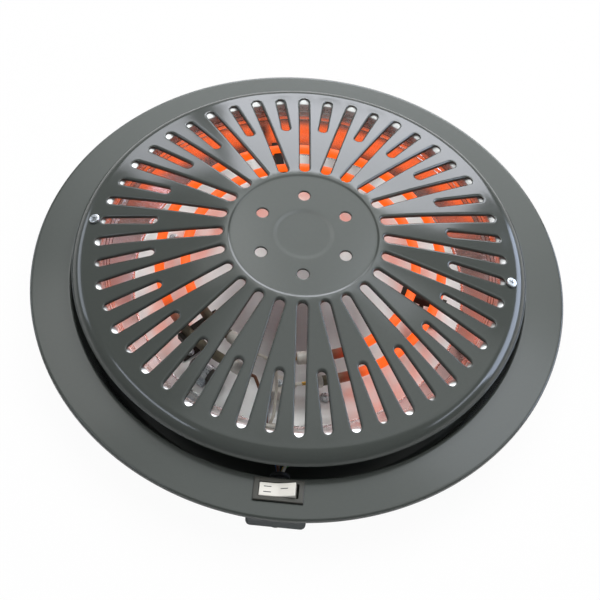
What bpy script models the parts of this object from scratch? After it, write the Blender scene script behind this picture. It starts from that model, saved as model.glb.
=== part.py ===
"""Electric brazier: a round under-table heater with a wide flange, a domed slotted grille,
a bright reflector pan, two ring-shaped heating elements and a two-position rocker switch.

Metres, +Z up. The origin is on the surface that the brazier stands on, under its centre,
and the switch is at the front, towards -Y.
"""

import math

import bmesh
import bpy
from mathutils import Matrix, Vector

# Clearances, sheets and counts that every piece shares
GAP = 0.0003
OVERRUN = 0.004
MERGE_DISTANCE = 0.00001
LARGE_SIDES = 56
SMALL_SIDES = 10
TUBE_RESOLUTION = 2
SHARP_ANGLE = math.radians(35.0)
FILLET_STEPS = 2

# Casing: flange, bowl and feet
CASING_SHEET = 0.0008
MOUTH_RADIUS = 0.166
FLANGE_WIDTH = 0.029
FLANGE_RIM_DROP = 0.0038
FLANGE_RIM_FILLET = 0.0018
MOUTH_FILLET = 0.0016
BOWL_DEPTH = 0.036
BOWL_WALL_RUN = 0.010
BOWL_FLOOR_FILLET = 0.006
FOOT_HEIGHT = 0.004
FOOT_RADIUS = 0.009
FOOT_TAPER = 0.001
FOOT_STEM_RADIUS = 0.0025
FOOT_BARB_RADIUS = 0.0036
FOOT_BARB_HEIGHT = 0.002
FOOT_INSET = 0.028
FOOT_COUNT = 3
FOOT_FIRST_ANGLE = math.radians(90.0)
VENT_COUNT = 12
VENT_INNER_RADIUS = 0.036
VENT_LENGTH = 0.038
VENT_WIDTH = 0.005

# Grille: hub, dome, crest and lip, with its slots and holes
GRILLE_SHEET = 0.001
LIP_GAP = 0.002
LIP_RISE = 0.0144
LIP_CURL = 0.0011
CREST_RUN = 0.006
CREST_FILLET = 0.008
CREST_DROP = 0.0072
HUB_RADIUS = 0.0556
HUB_FILLET = 0.006
HUB_SINK = 0.0009
HUB_EDGE_RUN = 0.0022
HUB_DISC_RADIUS = 0.0215
HUB_DISC_DEPTH = 0.0005
HUB_DISC_BEVEL = 0.0016
DOME_SLOPE_SHARE = 0.17
DOME_CROWN = 0.77
DOME_STEPS = 3
SLOT_COUNT = 24
SLOT_TURN = math.radians(3.75)
SLOT_EDGE_MARGIN = 0.0104
LONG_SLOT_WIDTH = 0.007
LONG_SLOT_HUB_MARGIN = 0.0011
SHORT_SLOT_WIDTH = 0.006
SHORT_SLOT_LENGTH = 0.0416
SHORT_SLOT_SETBACK = 0.0013
SLOT_END_STEPS = 3
HUB_HOLE_COUNT = 6
HUB_HOLE_RADIUS = 0.0042
HUB_HOLE_INSET = 0.0215
HUB_HOLE_SIDES = 8

# Reflector pan, which carries the grille on the bead of its rim
PAN_SHEET = 0.0006
PAN_SINK = 0.013
PAN_RIM_WIDTH = 0.0143
PAN_WALL_RUN = 0.0213
PAN_FLOOR_FILLET = 0.004
PAN_MOUTH_DROP = 0.003
PAN_BEAD_WIDTH = 0.0070
PAN_BEAD_SETBACK = 0.0035
PAN_EDGE_RUN = 0.0008
PAN_EDGE_DROP = 0.0036

# Shape of every screw and rivet head
HEAD_TOP_SHARE = 0.6
HEAD_SIDE_SHARE = 0.55

# Screws and square nuts that hold the grille to the pan
GRILLE_SCREW_SETBACK = 0.0072
GRILLE_SCREW_ANGLES = (math.radians(176.3), math.radians(356.3))
GRILLE_SCREW_SHANK_RADIUS = 0.0015
GRILLE_SCREW_LENGTH = 0.009
GRILLE_SCREW_HEAD_RADIUS = 0.0038
GRILLE_SCREW_HEAD_HEIGHT = 0.0023
GRILLE_NUT_WIDTH = 0.0052
GRILLE_NUT_HEIGHT = 0.0024

# Standoffs and screws that carry the pan over the casing floor
STANDOFF_COUNT = 3
STANDOFF_FIRST_ANGLE = math.radians(45.0)
STANDOFF_INSET = 0.0222
STANDOFF_RADIUS = 0.005
STANDOFF_GRIP = 0.009
PAN_SCREW_RADIUS = 0.002
PAN_SCREW_HEAD_RADIUS = 0.0038
PAN_SCREW_HEAD_HEIGHT = 0.0024

# Heating elements and what holds them
TUBE_RADIUS = 0.0035
RING_RISE = 0.0165
OUTER_RING_INSET = 0.0204
RING_PITCH = 0.0187
OUTER_RING_START = math.radians(-74.0)
OUTER_RING_END = math.radians(244.0)
INNER_RING_START = math.radians(-78.0)
INNER_RING_END = math.radians(234.0)
RING_STEP = math.radians(8.0)
COLD_END = 0.006
BEAD_RADIUS = 0.0045
BEAD_LENGTH = 0.008
BEAD_BORE_RADIUS = 0.0017
PIN_RADIUS = 0.0013
PIN_REACH = 0.006
PIN_SIDES = 8
BRACKET_COUNT = 3
BRACKET_FIRST_ANGLE = math.radians(105.0)
BRACKET_WIDTH = 0.006
BRACKET_HEAD_MARGIN = 0.0035
BRACKET_CAP = 0.0025
BRACKET_SADDLE_RISE = 0.0008
BRACKET_TAPER = 0.001
BRACKET_WEB = 0.003
BRACKET_FOOT_LENGTH = 0.016
BRACKET_FOOT_HEIGHT = 0.0015
BRACKET_TUBE_GAP = 0.0005
RIVET_RADIUS = 0.0015
RIVET_HEAD_RADIUS = 0.003
RIVET_HEAD_HEIGHT = 0.0012

# Thermal cut-out, clipped to the pan floor beside the left front bracket
CUTOUT_RADIUS = 0.0048
CUTOUT_LENGTH = 0.026
CUTOUT_INSET = 0.0164
CUTOUT_ANGLE = math.radians(237.0)
CUTOUT_CLIP_WIDTH = 0.006
CUTOUT_CLIP_SHEET = 0.0008
CUTOUT_CLIP_EAR = 0.009
CUTOUT_CLIP_STEPS = 6

# Ceramic terminal block on the pan floor
BLOCK_LENGTH = 0.020
BLOCK_WIDTH = 0.014
BLOCK_HEIGHT = 0.012
BLOCK_BEVEL = 0.001
BLOCK_INSET = 0.0264
BLOCK_ANGLE = math.radians(266.0)
BLOCK_SCREW_RADIUS = 0.0017
BLOCK_SCREW_HEAD_RADIUS = 0.0028
BLOCK_SCREW_HEAD_HEIGHT = 0.0018

# Ceramic bush in the pan wall, and rubber bush between casing and switch box
PAN_BUSH_ANGLE = math.radians(265.0)
PAN_BUSH_RISE = 0.015
BUSH_BORE_RADIUS = 0.0037
BUSH_WALL = 0.0009
BUSH_HEAD_OVERLAP = 0.0022
BUSH_HEAD_HEIGHT = 0.0026
PAN_BUSH_TAIL = 0.004
BOX_BUSH_DROP = 0.0168
BOX_BUSH_TAIL = 0.0015

# Wires
WIRE_RADIUS = 0.0011
WIRE_STEPS = 2
WIRE_SPREAD = 0.00185
WIRE_LEAD = 0.007
WIRE_GRIP = 0.0015
WIRE_FAN_SHARE = 2.0
WHITE_WIRE_ANGLE = math.radians(263.0)

# Rocker switch in the flange
SWITCH_SETBACK = 0.0197
SWITCH_ANGLE = math.radians(270.0)
BEZEL_LENGTH = 0.0335
BEZEL_WIDTH = 0.016
BEZEL_HEIGHT = 0.002
BEZEL_BEVEL = 0.0006
HOUSING_LENGTH = 0.0284
HOUSING_WIDTH = 0.013
HOUSING_DEPTH = 0.0115
CAVITY_LENGTH = 0.0265
CAVITY_WIDTH = 0.0103
CAVITY_DEPTH = 0.0085
ROCKER_LENGTH = 0.024
ROCKER_WIDTH = 0.0095
ROCKER_RAKE = math.radians(10.0)
ROCKER_CROWN = 0.004
ROCKER_SKIRT = 0.003
ROCKER_SKIRT_INSET = 0.0015
AXLE_DROP = 0.0022
AXLE_RADIUS = 0.0012
AXLE_REACH = 0.0011
BLADE_COUNT = 3
BLADE_PITCH = 0.0054
BLADE_WIDTH = 0.0048
BLADE_SHEET = 0.0008
BLADE_LENGTH = 0.0045

# Switch box under the flange
BOX_LENGTH = 0.040
BOX_DEPTH = 0.023
BOX_WALL = 0.0012
BOX_OUTER_SETBACK = 0.0035
BOX_INNER_GAP = 0.0004
BOX_BEVEL = 0.0035
STUD_RADIUS = 0.0026
STUD_END_MARGIN = 0.008
STUD_INSET = 0.0055
BOX_SCREW_RADIUS = 0.0012
BOX_SCREW_HEAD_RADIUS = 0.0026
BOX_SCREW_HEAD_HEIGHT = 0.0016
BOX_SCREW_GRIP = 0.006
GLAND_BORE_RADIUS = 0.0036
GLAND_WALL = 0.001
GLAND_HEAD_OVERLAP = 0.001
GLAND_HEAD_HEIGHT = 0.0016
GLAND_TAIL = 0.0008
CONNECTOR_PITCH = 0.0046
CONNECTOR_HEIGHT = 0.0036
CONNECTOR_LENGTH = 0.0065

# Earth screw and ring terminal on the casing floor
EARTH_ANGLE = math.radians(285.0)
EARTH_INSET = 0.022
EARTH_SHANK_RADIUS = 0.002
EARTH_HEAD_RADIUS = 0.0038
EARTH_HEAD_HEIGHT = 0.0024
EARTH_SHANK_REACH = 0.002
EARTH_RING_RADIUS = 0.0045
EARTH_RING_SHEET = 0.0008

# Places that follow from the dimensions
FLANGE_RADIUS = MOUTH_RADIUS + FLANGE_WIDTH
FLANGE_TOP = FOOT_HEIGHT + BOWL_DEPTH
FLANGE_UNDERSIDE = FLANGE_TOP - CASING_SHEET
CASING_FLOOR = FOOT_HEIGHT + CASING_SHEET
BOWL_FLOOR_RADIUS = MOUTH_RADIUS - BOWL_WALL_RUN
LIP_RADIUS = MOUTH_RADIUS - LIP_GAP
LIP_HEIGHT = FLANGE_TOP + LIP_RISE
CREST_RADIUS = LIP_RADIUS - CREST_RUN
CREST_HEIGHT = LIP_HEIGHT + CREST_DROP
DOME_RUN = CREST_RADIUS - HUB_RADIUS
HUB_HEIGHT = CREST_HEIGHT + DOME_SLOPE_SHARE * DOME_RUN + DOME_RUN ** 2 / (2.0 * DOME_CROWN)
SLOT_OUTER_RADIUS = CREST_RADIUS - SLOT_EDGE_MARGIN
PAN_MOUTH_RADIUS = CREST_RADIUS - PAN_RIM_WIDTH
PAN_FLOOR_RADIUS = PAN_MOUTH_RADIUS - PAN_WALL_RUN
PAN_FLOOR = FLANGE_TOP - PAN_SINK
PAN_UNDERSIDE = PAN_FLOOR - PAN_SHEET
RING_HEIGHT = FLANGE_TOP + RING_RISE
OUTER_RING_RADIUS = PAN_FLOOR_RADIUS - OUTER_RING_INSET
INNER_RING_RADIUS = OUTER_RING_RADIUS - RING_PITCH
GRILLE_SCREW_CIRCLE = CREST_RADIUS - GRILLE_SCREW_SETBACK
SWITCH_CIRCLE = FLANGE_RADIUS - SWITCH_SETBACK
BOX_OUTER_FACE = FLANGE_RADIUS - BOX_OUTER_SETBACK
BOX_INNER_FACE = MOUTH_RADIUS + CASING_SHEET + BOX_INNER_GAP
BOX_FLOOR = FLANGE_TOP - BOX_DEPTH
STUD_SPACING = BOX_LENGTH - 2.0 * STUD_END_MARGIN
AXLE_HEIGHT = FLANGE_TOP - AXLE_DROP
BOX_BUSH_HEIGHT = FLANGE_TOP - BOX_BUSH_DROP


def start_scene():
    """Empties the scene and gives the collections of the parts and of the cutters."""
    for leftover in list(bpy.data.objects):
        bpy.data.objects.remove(leftover)
    parts = bpy.data.collections.new("electric_brazier")
    cutters = bpy.data.collections.new("cutters")
    bpy.context.scene.collection.children.link(parts)
    bpy.context.scene.collection.children.link(cutters)
    return parts, cutters


PARTS, CUTTERS = start_scene()


def linear(channel):
    """One sRGB channel from 0 to 1 as linear light."""
    return channel / 12.92 if channel <= 0.04045 else ((channel + 0.055) / 1.055) ** 2.4


def finish(name, hex_colour, roughness, metallic=0.0):
    """A Principled material from an sRGB hex colour."""
    channels = [linear(int(hex_colour[i:i + 2], 16) / 255.0) for i in (1, 3, 5)]
    material = bpy.data.materials.new(name)
    material.use_nodes = True
    shader = material.node_tree.nodes["Principled BSDF"]
    shader.inputs["Base Color"].default_value = (*channels, 1.0)
    shader.inputs["Roughness"].default_value = roughness
    shader.inputs["Metallic"].default_value = metallic
    return material


PAINTED_STEEL = finish("graphite_stove_paint", "#646A66", 0.35, 0.2)
BRIGHT_ALUMINIUM = finish("bright_aluminium", "#D9D7D6", 0.18, 1.0)
ZINC_STEEL = finish("zinc_plated_steel", "#B9BCC0", 0.35, 1.0)
BLACK_STEEL = finish("blackened_steel", "#26241F", 0.55, 0.6)
GLOWING_SHEATH = finish("glowing_element_sheath", "#E8581A", 0.6)
STEATITE = finish("glazed_steatite", "#EFEBE2", 0.3)
BRASS = finish("brass", "#B5904A", 0.3, 1.0)
BLACK_PLASTIC = finish("black_moulded_plastic", "#34332F", 0.5)
GREY_PLASTIC = finish("grey_moulded_plastic", "#4B4F50", 0.6)
WHITE_PLASTIC = finish("white_rocker_plastic", "#EFEAE4", 0.35)
BLACK_RUBBER = finish("black_rubber", "#1D1D1D", 0.8)
BROWN_WIRE = finish("brown_insulation", "#6A3D22", 0.5)
BLUE_WIRE = finish("blue_insulation", "#2C5FA8", 0.5)
WHITE_SLEEVE = finish("glass_fibre_sleeve", "#E9E4DA", 0.8)
EARTH_WIRE = finish("earth_insulation", "#8DA82B", 0.5)


def polar(radius, angle, height=0.0):
    """The point at a radius and an angle about the brazier's axis."""
    return Vector((radius * math.cos(angle), radius * math.sin(angle), height))


def evenly(count, first_angle):
    """Angles of a pattern of equal steps round the axis."""
    return [first_angle + math.tau * i / count for i in range(count)]


def add_part(name, data, material):
    """Puts a mesh or curve in the scene as a part."""
    part = bpy.data.objects.new(name, data)
    PARTS.objects.link(part)
    if material is not None:
        data.materials.append(material)
    return part


def as_cutter(part):
    """Turns a part into a cutter, which shapes others and is not itself a piece."""
    PARTS.objects.unlink(part)
    CUTTERS.objects.link(part)
    part.hide_render = True
    part.display_type = "WIRE"
    return part


def combine(part, other, operation):
    """Cuts a part with another shape, or joins that shape to it, and keeps the shape as a cutter."""
    modifier = part.modifiers.new(other.name, "BOOLEAN")
    modifier.operation = operation
    modifier.solver = "EXACT"
    modifier.object = other
    if other.name not in CUTTERS.objects:
        as_cutter(other)


def cut(part, *tools):
    """Takes the tools' shapes out of a part."""
    for tool in tools:
        combine(part, tool, "DIFFERENCE")


def join(part, *additions):
    """Makes the additions one body with a part."""
    for addition in additions:
        combine(part, addition, "UNION")


def place(part, radius, angle, height, tilt=0.0):
    """Sets a part down at a radius and angle, its +X outwards and its +Z tilted outwards."""
    part.location = polar(radius, angle, height)
    part.rotation_euler = (0.0, tilt, angle)
    return part


def filleted(corners):
    """Outline points from (radius, height, fillet) corners, each fillet an arc of FILLET_STEPS."""
    outline = []
    for index, (radius, height, fillet) in enumerate(corners):
        here = Vector((radius, height))
        if fillet == 0.0:
            outline.append(here)
            continue
        before = (Vector(corners[index - 1][:2]) - here).normalized()
        after = (Vector(corners[index + 1][:2]) - here).normalized()
        half_angle = before.angle(after) / 2.0
        centre = here + (before + after).normalized() * fillet / math.sin(half_angle)
        first = here + before * fillet / math.tan(half_angle) - centre
        last = here + after * fillet / math.tan(half_angle) - centre
        sweep = first.angle_signed(last)
        for step in range(FILLET_STEPS + 1):
            outline.append(centre + Matrix.Rotation(-sweep * step / FILLET_STEPS, 2) @ first)
    return outline


def turned(name, outline, material, sides=SMALL_SIDES, closed=False, sheet=0.0):
    """Turns (radius, height) points about Z. Sheet metal is given by its upper face."""
    mesh = bpy.data.meshes.new(name)
    links = [(i, i + 1) for i in range(len(outline) - 1)]
    if closed:
        links.append((len(outline) - 1, 0))
    mesh.from_pydata([(radius, 0.0, height) for radius, height in outline], links, [])
    part = add_part(name, mesh, material)
    screw = part.modifiers.new("Turn", "SCREW")
    screw.steps = sides
    screw.render_steps = sides
    screw.use_merge_vertices = True
    screw.merge_threshold = MERGE_DISTANCE
    if sheet > 0.0:
        wall = part.modifiers.new("Sheet", "SOLIDIFY")
        wall.thickness = sheet
        wall.offset = -1.0
        wall.use_even_offset = True
    return part


def cylinder(name, radius, bottom, top, material=None, sides=SMALL_SIDES):
    """An upright cylinder between two heights on its own axis."""
    shape = bmesh.new()
    bmesh.ops.create_cone(shape, cap_ends=True, segments=sides, radius1=radius, radius2=radius,
                          depth=top - bottom)
    bmesh.ops.translate(shape, verts=shape.verts, vec=(0.0, 0.0, (top + bottom) / 2.0))
    mesh = bpy.data.meshes.new(name)
    shape.to_mesh(mesh)
    shape.free()
    mesh.shade_smooth()
    mesh.set_sharp_from_angle(angle=SHARP_ANGLE)
    return add_part(name, mesh, material)


def box(name, low, high, material=None, bevel=0.0):
    """A box between two corners, its edges rounded by a bevel if it has one."""
    low, high = Vector(low), Vector(high)
    shape = bmesh.new()
    bmesh.ops.create_cube(shape, size=1.0)
    bmesh.ops.scale(shape, verts=shape.verts, vec=high - low)
    bmesh.ops.translate(shape, verts=shape.verts, vec=(low + high) / 2.0)
    mesh = bpy.data.meshes.new(name)
    shape.to_mesh(mesh)
    shape.free()
    part = add_part(name, mesh, material)
    if bevel > 0.0:
        rounding = part.modifiers.new("Edges", "BEVEL")
        rounding.width = bevel
        rounding.segments = FILLET_STEPS
    return part


def plate(name, outlines, thickness, material=None):
    """Closed outlines in the XY plane, each made a plate about that plane, as one mesh."""
    curve = bpy.data.curves.new(name, "CURVE")
    curve.dimensions = "2D"
    curve.fill_mode = "BOTH"
    curve.extrude = thickness / 2.0
    for outline in outlines:
        spline = curve.splines.new("POLY")
        spline.points.add(len(outline) - 1)
        spline.use_cyclic_u = True
        for point, (x, y) in zip(spline.points, outline):
            point.co = (x, y, 0.0, 1.0)
    source = bpy.data.objects.new(name + "_outline", curve)
    PARTS.objects.link(source)
    bpy.context.view_layer.update()
    evaluated = source.evaluated_get(bpy.context.evaluated_depsgraph_get())
    mesh = bpy.data.meshes.new_from_object(evaluated)
    mesh.name = name
    bpy.data.objects.remove(source)
    shape = bmesh.new()
    shape.from_mesh(mesh)
    bmesh.ops.remove_doubles(shape, verts=shape.verts, dist=MERGE_DISTANCE)
    shape.to_mesh(mesh)
    shape.free()
    mesh.materials.clear()
    return add_part(name, mesh, material)


def upright(part):
    """Stands a plate on edge in its mesh, its outline's Y becoming height."""
    part.data.transform(Matrix.Rotation(math.pi / 2.0, 4, "X"))
    return part


def tube(name, points, radius, material):
    """A round wire or tube along points, with closed ends."""
    curve = bpy.data.curves.new(name, "CURVE")
    curve.dimensions = "3D"
    curve.bevel_depth = radius
    curve.bevel_resolution = TUBE_RESOLUTION
    curve.use_fill_caps = True
    spline = curve.splines.new("POLY")
    spline.points.add(len(points) - 1)
    for point, spot in zip(spline.points, points):
        point.co = (*spot, 1.0)
    return add_part(name, curve, material)


def smooth_route(guides):
    """Points on a smooth curve through the guide points, which leaves each one at a steady pace."""
    ends = [2.0 * guides[0] - guides[1]] + list(guides) + [2.0 * guides[-1] - guides[-2]]
    route = [guides[0]]
    for before, start, end, after in zip(ends, ends[1:], ends[2:], ends[3:]):
        length = (end - start).length
        leave = (end - before).normalized() * length
        arrive = (after - start).normalized() * length
        for step in range(1, WIRE_STEPS + 1):
            t = step / WIRE_STEPS
            blend = t * t * (3.0 - 2.0 * t)
            route.append(start.lerp(end, blend) + leave * (t * (1.0 - t) ** 2)
                         - arrive * (t * t * (1.0 - t)))
    return route


def dome_height(radius):
    """Height of the grille's upper face between the hub and the crest."""
    run = CREST_RADIUS - radius
    steeper = DOME_RUN ** 2 - (DOME_RUN - run) ** 2
    return CREST_HEIGHT + DOME_SLOPE_SHARE * run + steeper / (2.0 * DOME_CROWN)


def dome_tilt(radius):
    """How far the dome's normal leans outwards at a radius."""
    return math.atan(DOME_SLOPE_SHARE + (radius - HUB_RADIUS) / DOME_CROWN)


def bowl_wall_radius(height):
    """Inner radius of the casing's wall at a height."""
    share = (FLANGE_TOP - height) / BOWL_DEPTH
    return MOUTH_RADIUS - BOWL_WALL_RUN * share


def pan_mouth_height():
    """Height of the pan's wall top, under the slots' outer ends."""
    return dome_height(PAN_MOUTH_RADIUS) - GRILLE_SHEET - PAN_MOUTH_DROP


def slot_outline(inner, outer, width, angle):
    """A radial slot with half-round ends, as points in the XY plane."""
    radius = width / 2.0
    outline = []
    for centre, first in ((outer - radius, -math.pi / 2.0), (inner + radius, math.pi / 2.0)):
        for step in range(SLOT_END_STEPS + 1):
            turn = first + math.pi * step / SLOT_END_STEPS
            spot = Vector((centre + radius * math.cos(turn), radius * math.sin(turn)))
            outline.append(Matrix.Rotation(angle, 2) @ spot)
    return outline


def round_outline(radius_place, angle, radius, sides):
    """A round hole's outline at a place in the XY plane."""
    centre = polar(radius_place, angle)
    return [(centre + polar(radius, math.tau * i / sides)).to_2d() for i in range(sides)]


def headed_pin(name, shank_radius, length, head_radius, head_height, material):
    """A screw without its thread: head over z = 0, shank below, axis on Z."""
    side = head_height * HEAD_SIDE_SHARE
    crown = head_radius * HEAD_TOP_SHARE
    outline = [(0.0, head_height), (crown, head_height), (head_radius, side),
               (head_radius, 0.0), (shank_radius, 0.0), (shank_radius, -length), (0.0, -length)]
    return turned(name, outline, material)


def drill(name, radius, bottom, top, sides=SMALL_SIDES):
    """A cylinder that cuts a hole with the common clearance round what passes through it."""
    return cylinder(name, radius + GAP, bottom - OVERRUN, top + OVERRUN, sides=sides)


def build_casing():
    """Deep-drawn steel casing: bowl, mouth, flange and turned-down rim in one sheet."""
    floor = CASING_FLOOR
    corners = [
        (0.0, floor, 0.0),
        (BOWL_FLOOR_RADIUS, floor, BOWL_FLOOR_FILLET),
        (MOUTH_RADIUS, FLANGE_TOP, MOUTH_FILLET),
        (FLANGE_RADIUS, FLANGE_TOP, FLANGE_RIM_FILLET),
        (FLANGE_RADIUS, FLANGE_TOP - FLANGE_RIM_DROP, 0.0),
    ]
    casing = turned("casing", filleted(corners), PAINTED_STEEL, LARGE_SIDES, sheet=CASING_SHEET)
    vents = [slot_outline(VENT_INNER_RADIUS, VENT_INNER_RADIUS + VENT_LENGTH, VENT_WIDTH, angle)
             for angle in evenly(VENT_COUNT, 0.0)]
    vent_tool = plate("vent_cuts", vents, CASING_SHEET + 2.0 * OVERRUN)
    vent_tool.location.z = floor
    window = box("switch_window",
                 (-HOUSING_WIDTH / 2.0 - GAP, -HOUSING_LENGTH / 2.0 - GAP, -OVERRUN),
                 (HOUSING_WIDTH / 2.0 + GAP, HOUSING_LENGTH / 2.0 + GAP, OVERRUN))
    place(window, SWITCH_CIRCLE, SWITCH_ANGLE, FLANGE_TOP)
    cut(casing, vent_tool, window)
    return casing


def build_feet(casing):
    """Push-in rubber feet whose stems go through the casing floor."""
    outline = [
        (0.0, CASING_FLOOR + GAP + FOOT_BARB_HEIGHT),
        (FOOT_STEM_RADIUS, CASING_FLOOR + GAP + FOOT_BARB_HEIGHT),
        (FOOT_BARB_RADIUS, CASING_FLOOR + GAP),
        (FOOT_STEM_RADIUS, CASING_FLOOR + GAP),
        (FOOT_STEM_RADIUS, FOOT_HEIGHT - GAP),
        (FOOT_RADIUS, FOOT_HEIGHT - GAP),
        (FOOT_RADIUS - FOOT_TAPER, 0.0),
        (0.0, 0.0),
    ]
    for number, angle in enumerate(evenly(FOOT_COUNT, FOOT_FIRST_ANGLE), 1):
        radius = BOWL_FLOOR_RADIUS - FOOT_INSET
        place(turned(f"foot_{number}", outline, BLACK_RUBBER), radius, angle, 0.0)
        hole = drill(f"foot_hole_{number}", FOOT_STEM_RADIUS, FOOT_HEIGHT, CASING_FLOOR)
        cut(casing, place(hole, radius, angle, 0.0))


def build_grille():
    """Domed steel grille with long and short slots, a sunk hub and disc, and hub holes."""
    hub_level = HUB_HEIGHT - HUB_SINK
    disc_level = hub_level - HUB_DISC_DEPTH
    corners = [
        (0.0, disc_level, 0.0),
        (HUB_DISC_RADIUS - HUB_DISC_BEVEL, disc_level, 0.0),
        (HUB_DISC_RADIUS, hub_level, 0.0),
        (HUB_RADIUS - HUB_EDGE_RUN, hub_level, 0.0),
        (HUB_RADIUS, HUB_HEIGHT, HUB_FILLET),
    ]
    for step in range(1, DOME_STEPS):
        radius = HUB_RADIUS + DOME_RUN * step / DOME_STEPS
        corners.append((radius, dome_height(radius), 0.0))
    corners.append((CREST_RADIUS, CREST_HEIGHT, CREST_FILLET))
    corners.append((LIP_RADIUS - LIP_CURL, LIP_HEIGHT + LIP_CURL, 0.0))
    corners.append((LIP_RADIUS, LIP_HEIGHT, 0.0))
    grille = turned("grille", filleted(corners), PAINTED_STEEL, 2 * SLOT_COUNT,
                    sheet=GRILLE_SHEET)
    half_pitch = math.pi / SLOT_COUNT
    outlines = []
    for angle in evenly(SLOT_COUNT, SLOT_TURN):
        outlines.append(slot_outline(HUB_RADIUS + LONG_SLOT_HUB_MARGIN, SLOT_OUTER_RADIUS,
                                     LONG_SLOT_WIDTH, angle))
        short_outer = SLOT_OUTER_RADIUS - SHORT_SLOT_SETBACK
        outlines.append(slot_outline(short_outer - SHORT_SLOT_LENGTH, short_outer,
                                     SHORT_SLOT_WIDTH, angle + half_pitch))
    for angle in evenly(HUB_HOLE_COUNT, SLOT_TURN + math.pi / HUB_HOLE_COUNT):
        outlines.append(round_outline(HUB_RADIUS - HUB_HOLE_INSET, angle, HUB_HOLE_RADIUS,
                                      HUB_HOLE_SIDES))
    slot_tool = plate("slot_cuts", outlines, HUB_HEIGHT - CREST_HEIGHT + 2.0 * OVERRUN)
    slot_tool.location.z = (HUB_HEIGHT + CREST_HEIGHT) / 2.0
    cut(grille, slot_tool)
    return grille


def build_pan():
    """Polished aluminium reflector pan, with a bead on its rim that carries the grille."""
    under = GRILLE_SHEET + GAP
    bead_outer = CREST_RADIUS - PAN_BEAD_SETBACK
    bead_inner = bead_outer - PAN_BEAD_WIDTH
    corners = [
        (0.0, PAN_FLOOR, 0.0),
        (PAN_FLOOR_RADIUS, PAN_FLOOR, PAN_FLOOR_FILLET),
        (PAN_MOUTH_RADIUS, pan_mouth_height(), 0.0),
        (bead_inner, dome_height(bead_inner) - under / math.cos(dome_tilt(bead_inner)), 0.0),
        (bead_outer, dome_height(bead_outer) - under / math.cos(dome_tilt(bead_outer)), 0.0),
        (bead_outer + PAN_EDGE_RUN, dome_height(bead_outer) - under - PAN_EDGE_DROP, 0.0),
    ]
    return turned("reflector_pan", filleted(corners), BRIGHT_ALUMINIUM, LARGE_SIDES,
                  sheet=PAN_SHEET)


def build_grille_fixings(grille, pan):
    """Two screws through grille and pan rim into square nuts."""
    radius = GRILLE_SCREW_CIRCLE
    height, tilt = dome_height(radius), dome_tilt(radius)
    nut_top = -GRILLE_SHEET - PAN_SHEET - 3.0 * GAP
    for side, angle in zip(("left", "right"), GRILLE_SCREW_ANGLES):
        screw = headed_pin(f"grille_screw_{side}", GRILLE_SCREW_SHANK_RADIUS,
                           GRILLE_SCREW_LENGTH, GRILLE_SCREW_HEAD_RADIUS,
                           GRILLE_SCREW_HEAD_HEIGHT, ZINC_STEEL)
        screw.data.transform(Matrix.Translation((0.0, 0.0, GAP)))
        hole = drill(f"grille_screw_hole_{side}", GRILLE_SCREW_SHANK_RADIUS, nut_top, 0.0)
        half = GRILLE_NUT_WIDTH / 2.0
        nut = box(f"grille_nut_{side}", (-half, -half, nut_top - GRILLE_NUT_HEIGHT),
                  (half, half, nut_top), ZINC_STEEL)
        for piece in (screw, hole, nut):
            place(piece, radius, angle, height, tilt)
        cut(nut, hole)
        cut(grille, hole)
        cut(pan, hole)


def build_pan_supports(pan):
    """Three standoffs welded to the casing floor, and the screws that hold the pan on them."""
    radius = PAN_FLOOR_RADIUS - STANDOFF_INSET
    standoff_top = PAN_UNDERSIDE - GAP
    bore_floor = standoff_top - STANDOFF_GRIP
    for number, angle in enumerate(evenly(STANDOFF_COUNT, STANDOFF_FIRST_ANGLE), 1):
        standoff = cylinder(f"pan_standoff_{number}", STANDOFF_RADIUS, CASING_FLOOR + GAP,
                            standoff_top, ZINC_STEEL)
        screw = headed_pin(f"pan_screw_{number}", PAN_SCREW_RADIUS,
                           PAN_FLOOR - bore_floor,
                           PAN_SCREW_HEAD_RADIUS, PAN_SCREW_HEAD_HEIGHT, ZINC_STEEL)
        hole = cylinder(f"standoff_bore_{number}", PAN_SCREW_RADIUS + GAP, bore_floor,
                        PAN_FLOOR + OVERRUN)
        place(standoff, radius, angle, 0.0)
        place(screw, radius, angle, PAN_FLOOR + GAP)
        place(hole, radius, angle, 0.0)
        cut(standoff, hole)
        cut(pan, hole)


def tangent(angle, way):
    """Unit vector along a ring at an angle, anticlockwise for a way of +1."""
    return polar(way, angle + math.pi / 2.0)


def ring_points(radius, start, end):
    """Points along a heating ring, whose ends run on straight."""
    steps = round((end - start) / RING_STEP)
    arc = [polar(radius, start + (end - start) * i / steps, RING_HEIGHT)
           for i in range(steps + 1)]
    first = arc[0] + tangent(start, -1.0) * COLD_END
    last = arc[-1] + tangent(end, 1.0) * COLD_END
    return [first] + arc + [last]


def build_element(name, radius, start, end):
    """One sheathed ring element with a ceramic bead and a terminal pin at each end."""
    tube(name + "_element", ring_points(radius, start, end), TUBE_RADIUS, GLOWING_SHEATH)
    for side, angle, way in (("right", start, -1.0), ("left", end, 1.0)):
        bead = turned(f"{name}_bead_{side}",
                      [(BEAD_RADIUS, BEAD_LENGTH), (BEAD_RADIUS, 0.0),
                       (BEAD_BORE_RADIUS, 0.0), (BEAD_BORE_RADIUS, BEAD_LENGTH)],
                      STEATITE, closed=True)
        pin = cylinder(f"{name}_pin_{side}", PIN_RADIUS, 0.0, BEAD_LENGTH + PIN_REACH, BRASS,
                       PIN_SIDES)
        for piece in (bead, pin):
            piece.location = polar(radius, angle, RING_HEIGHT) \
                + tangent(angle, way) * (COLD_END + GAP)
            piece.rotation_euler = (-way * math.pi / 2.0, 0.0, angle)


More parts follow.
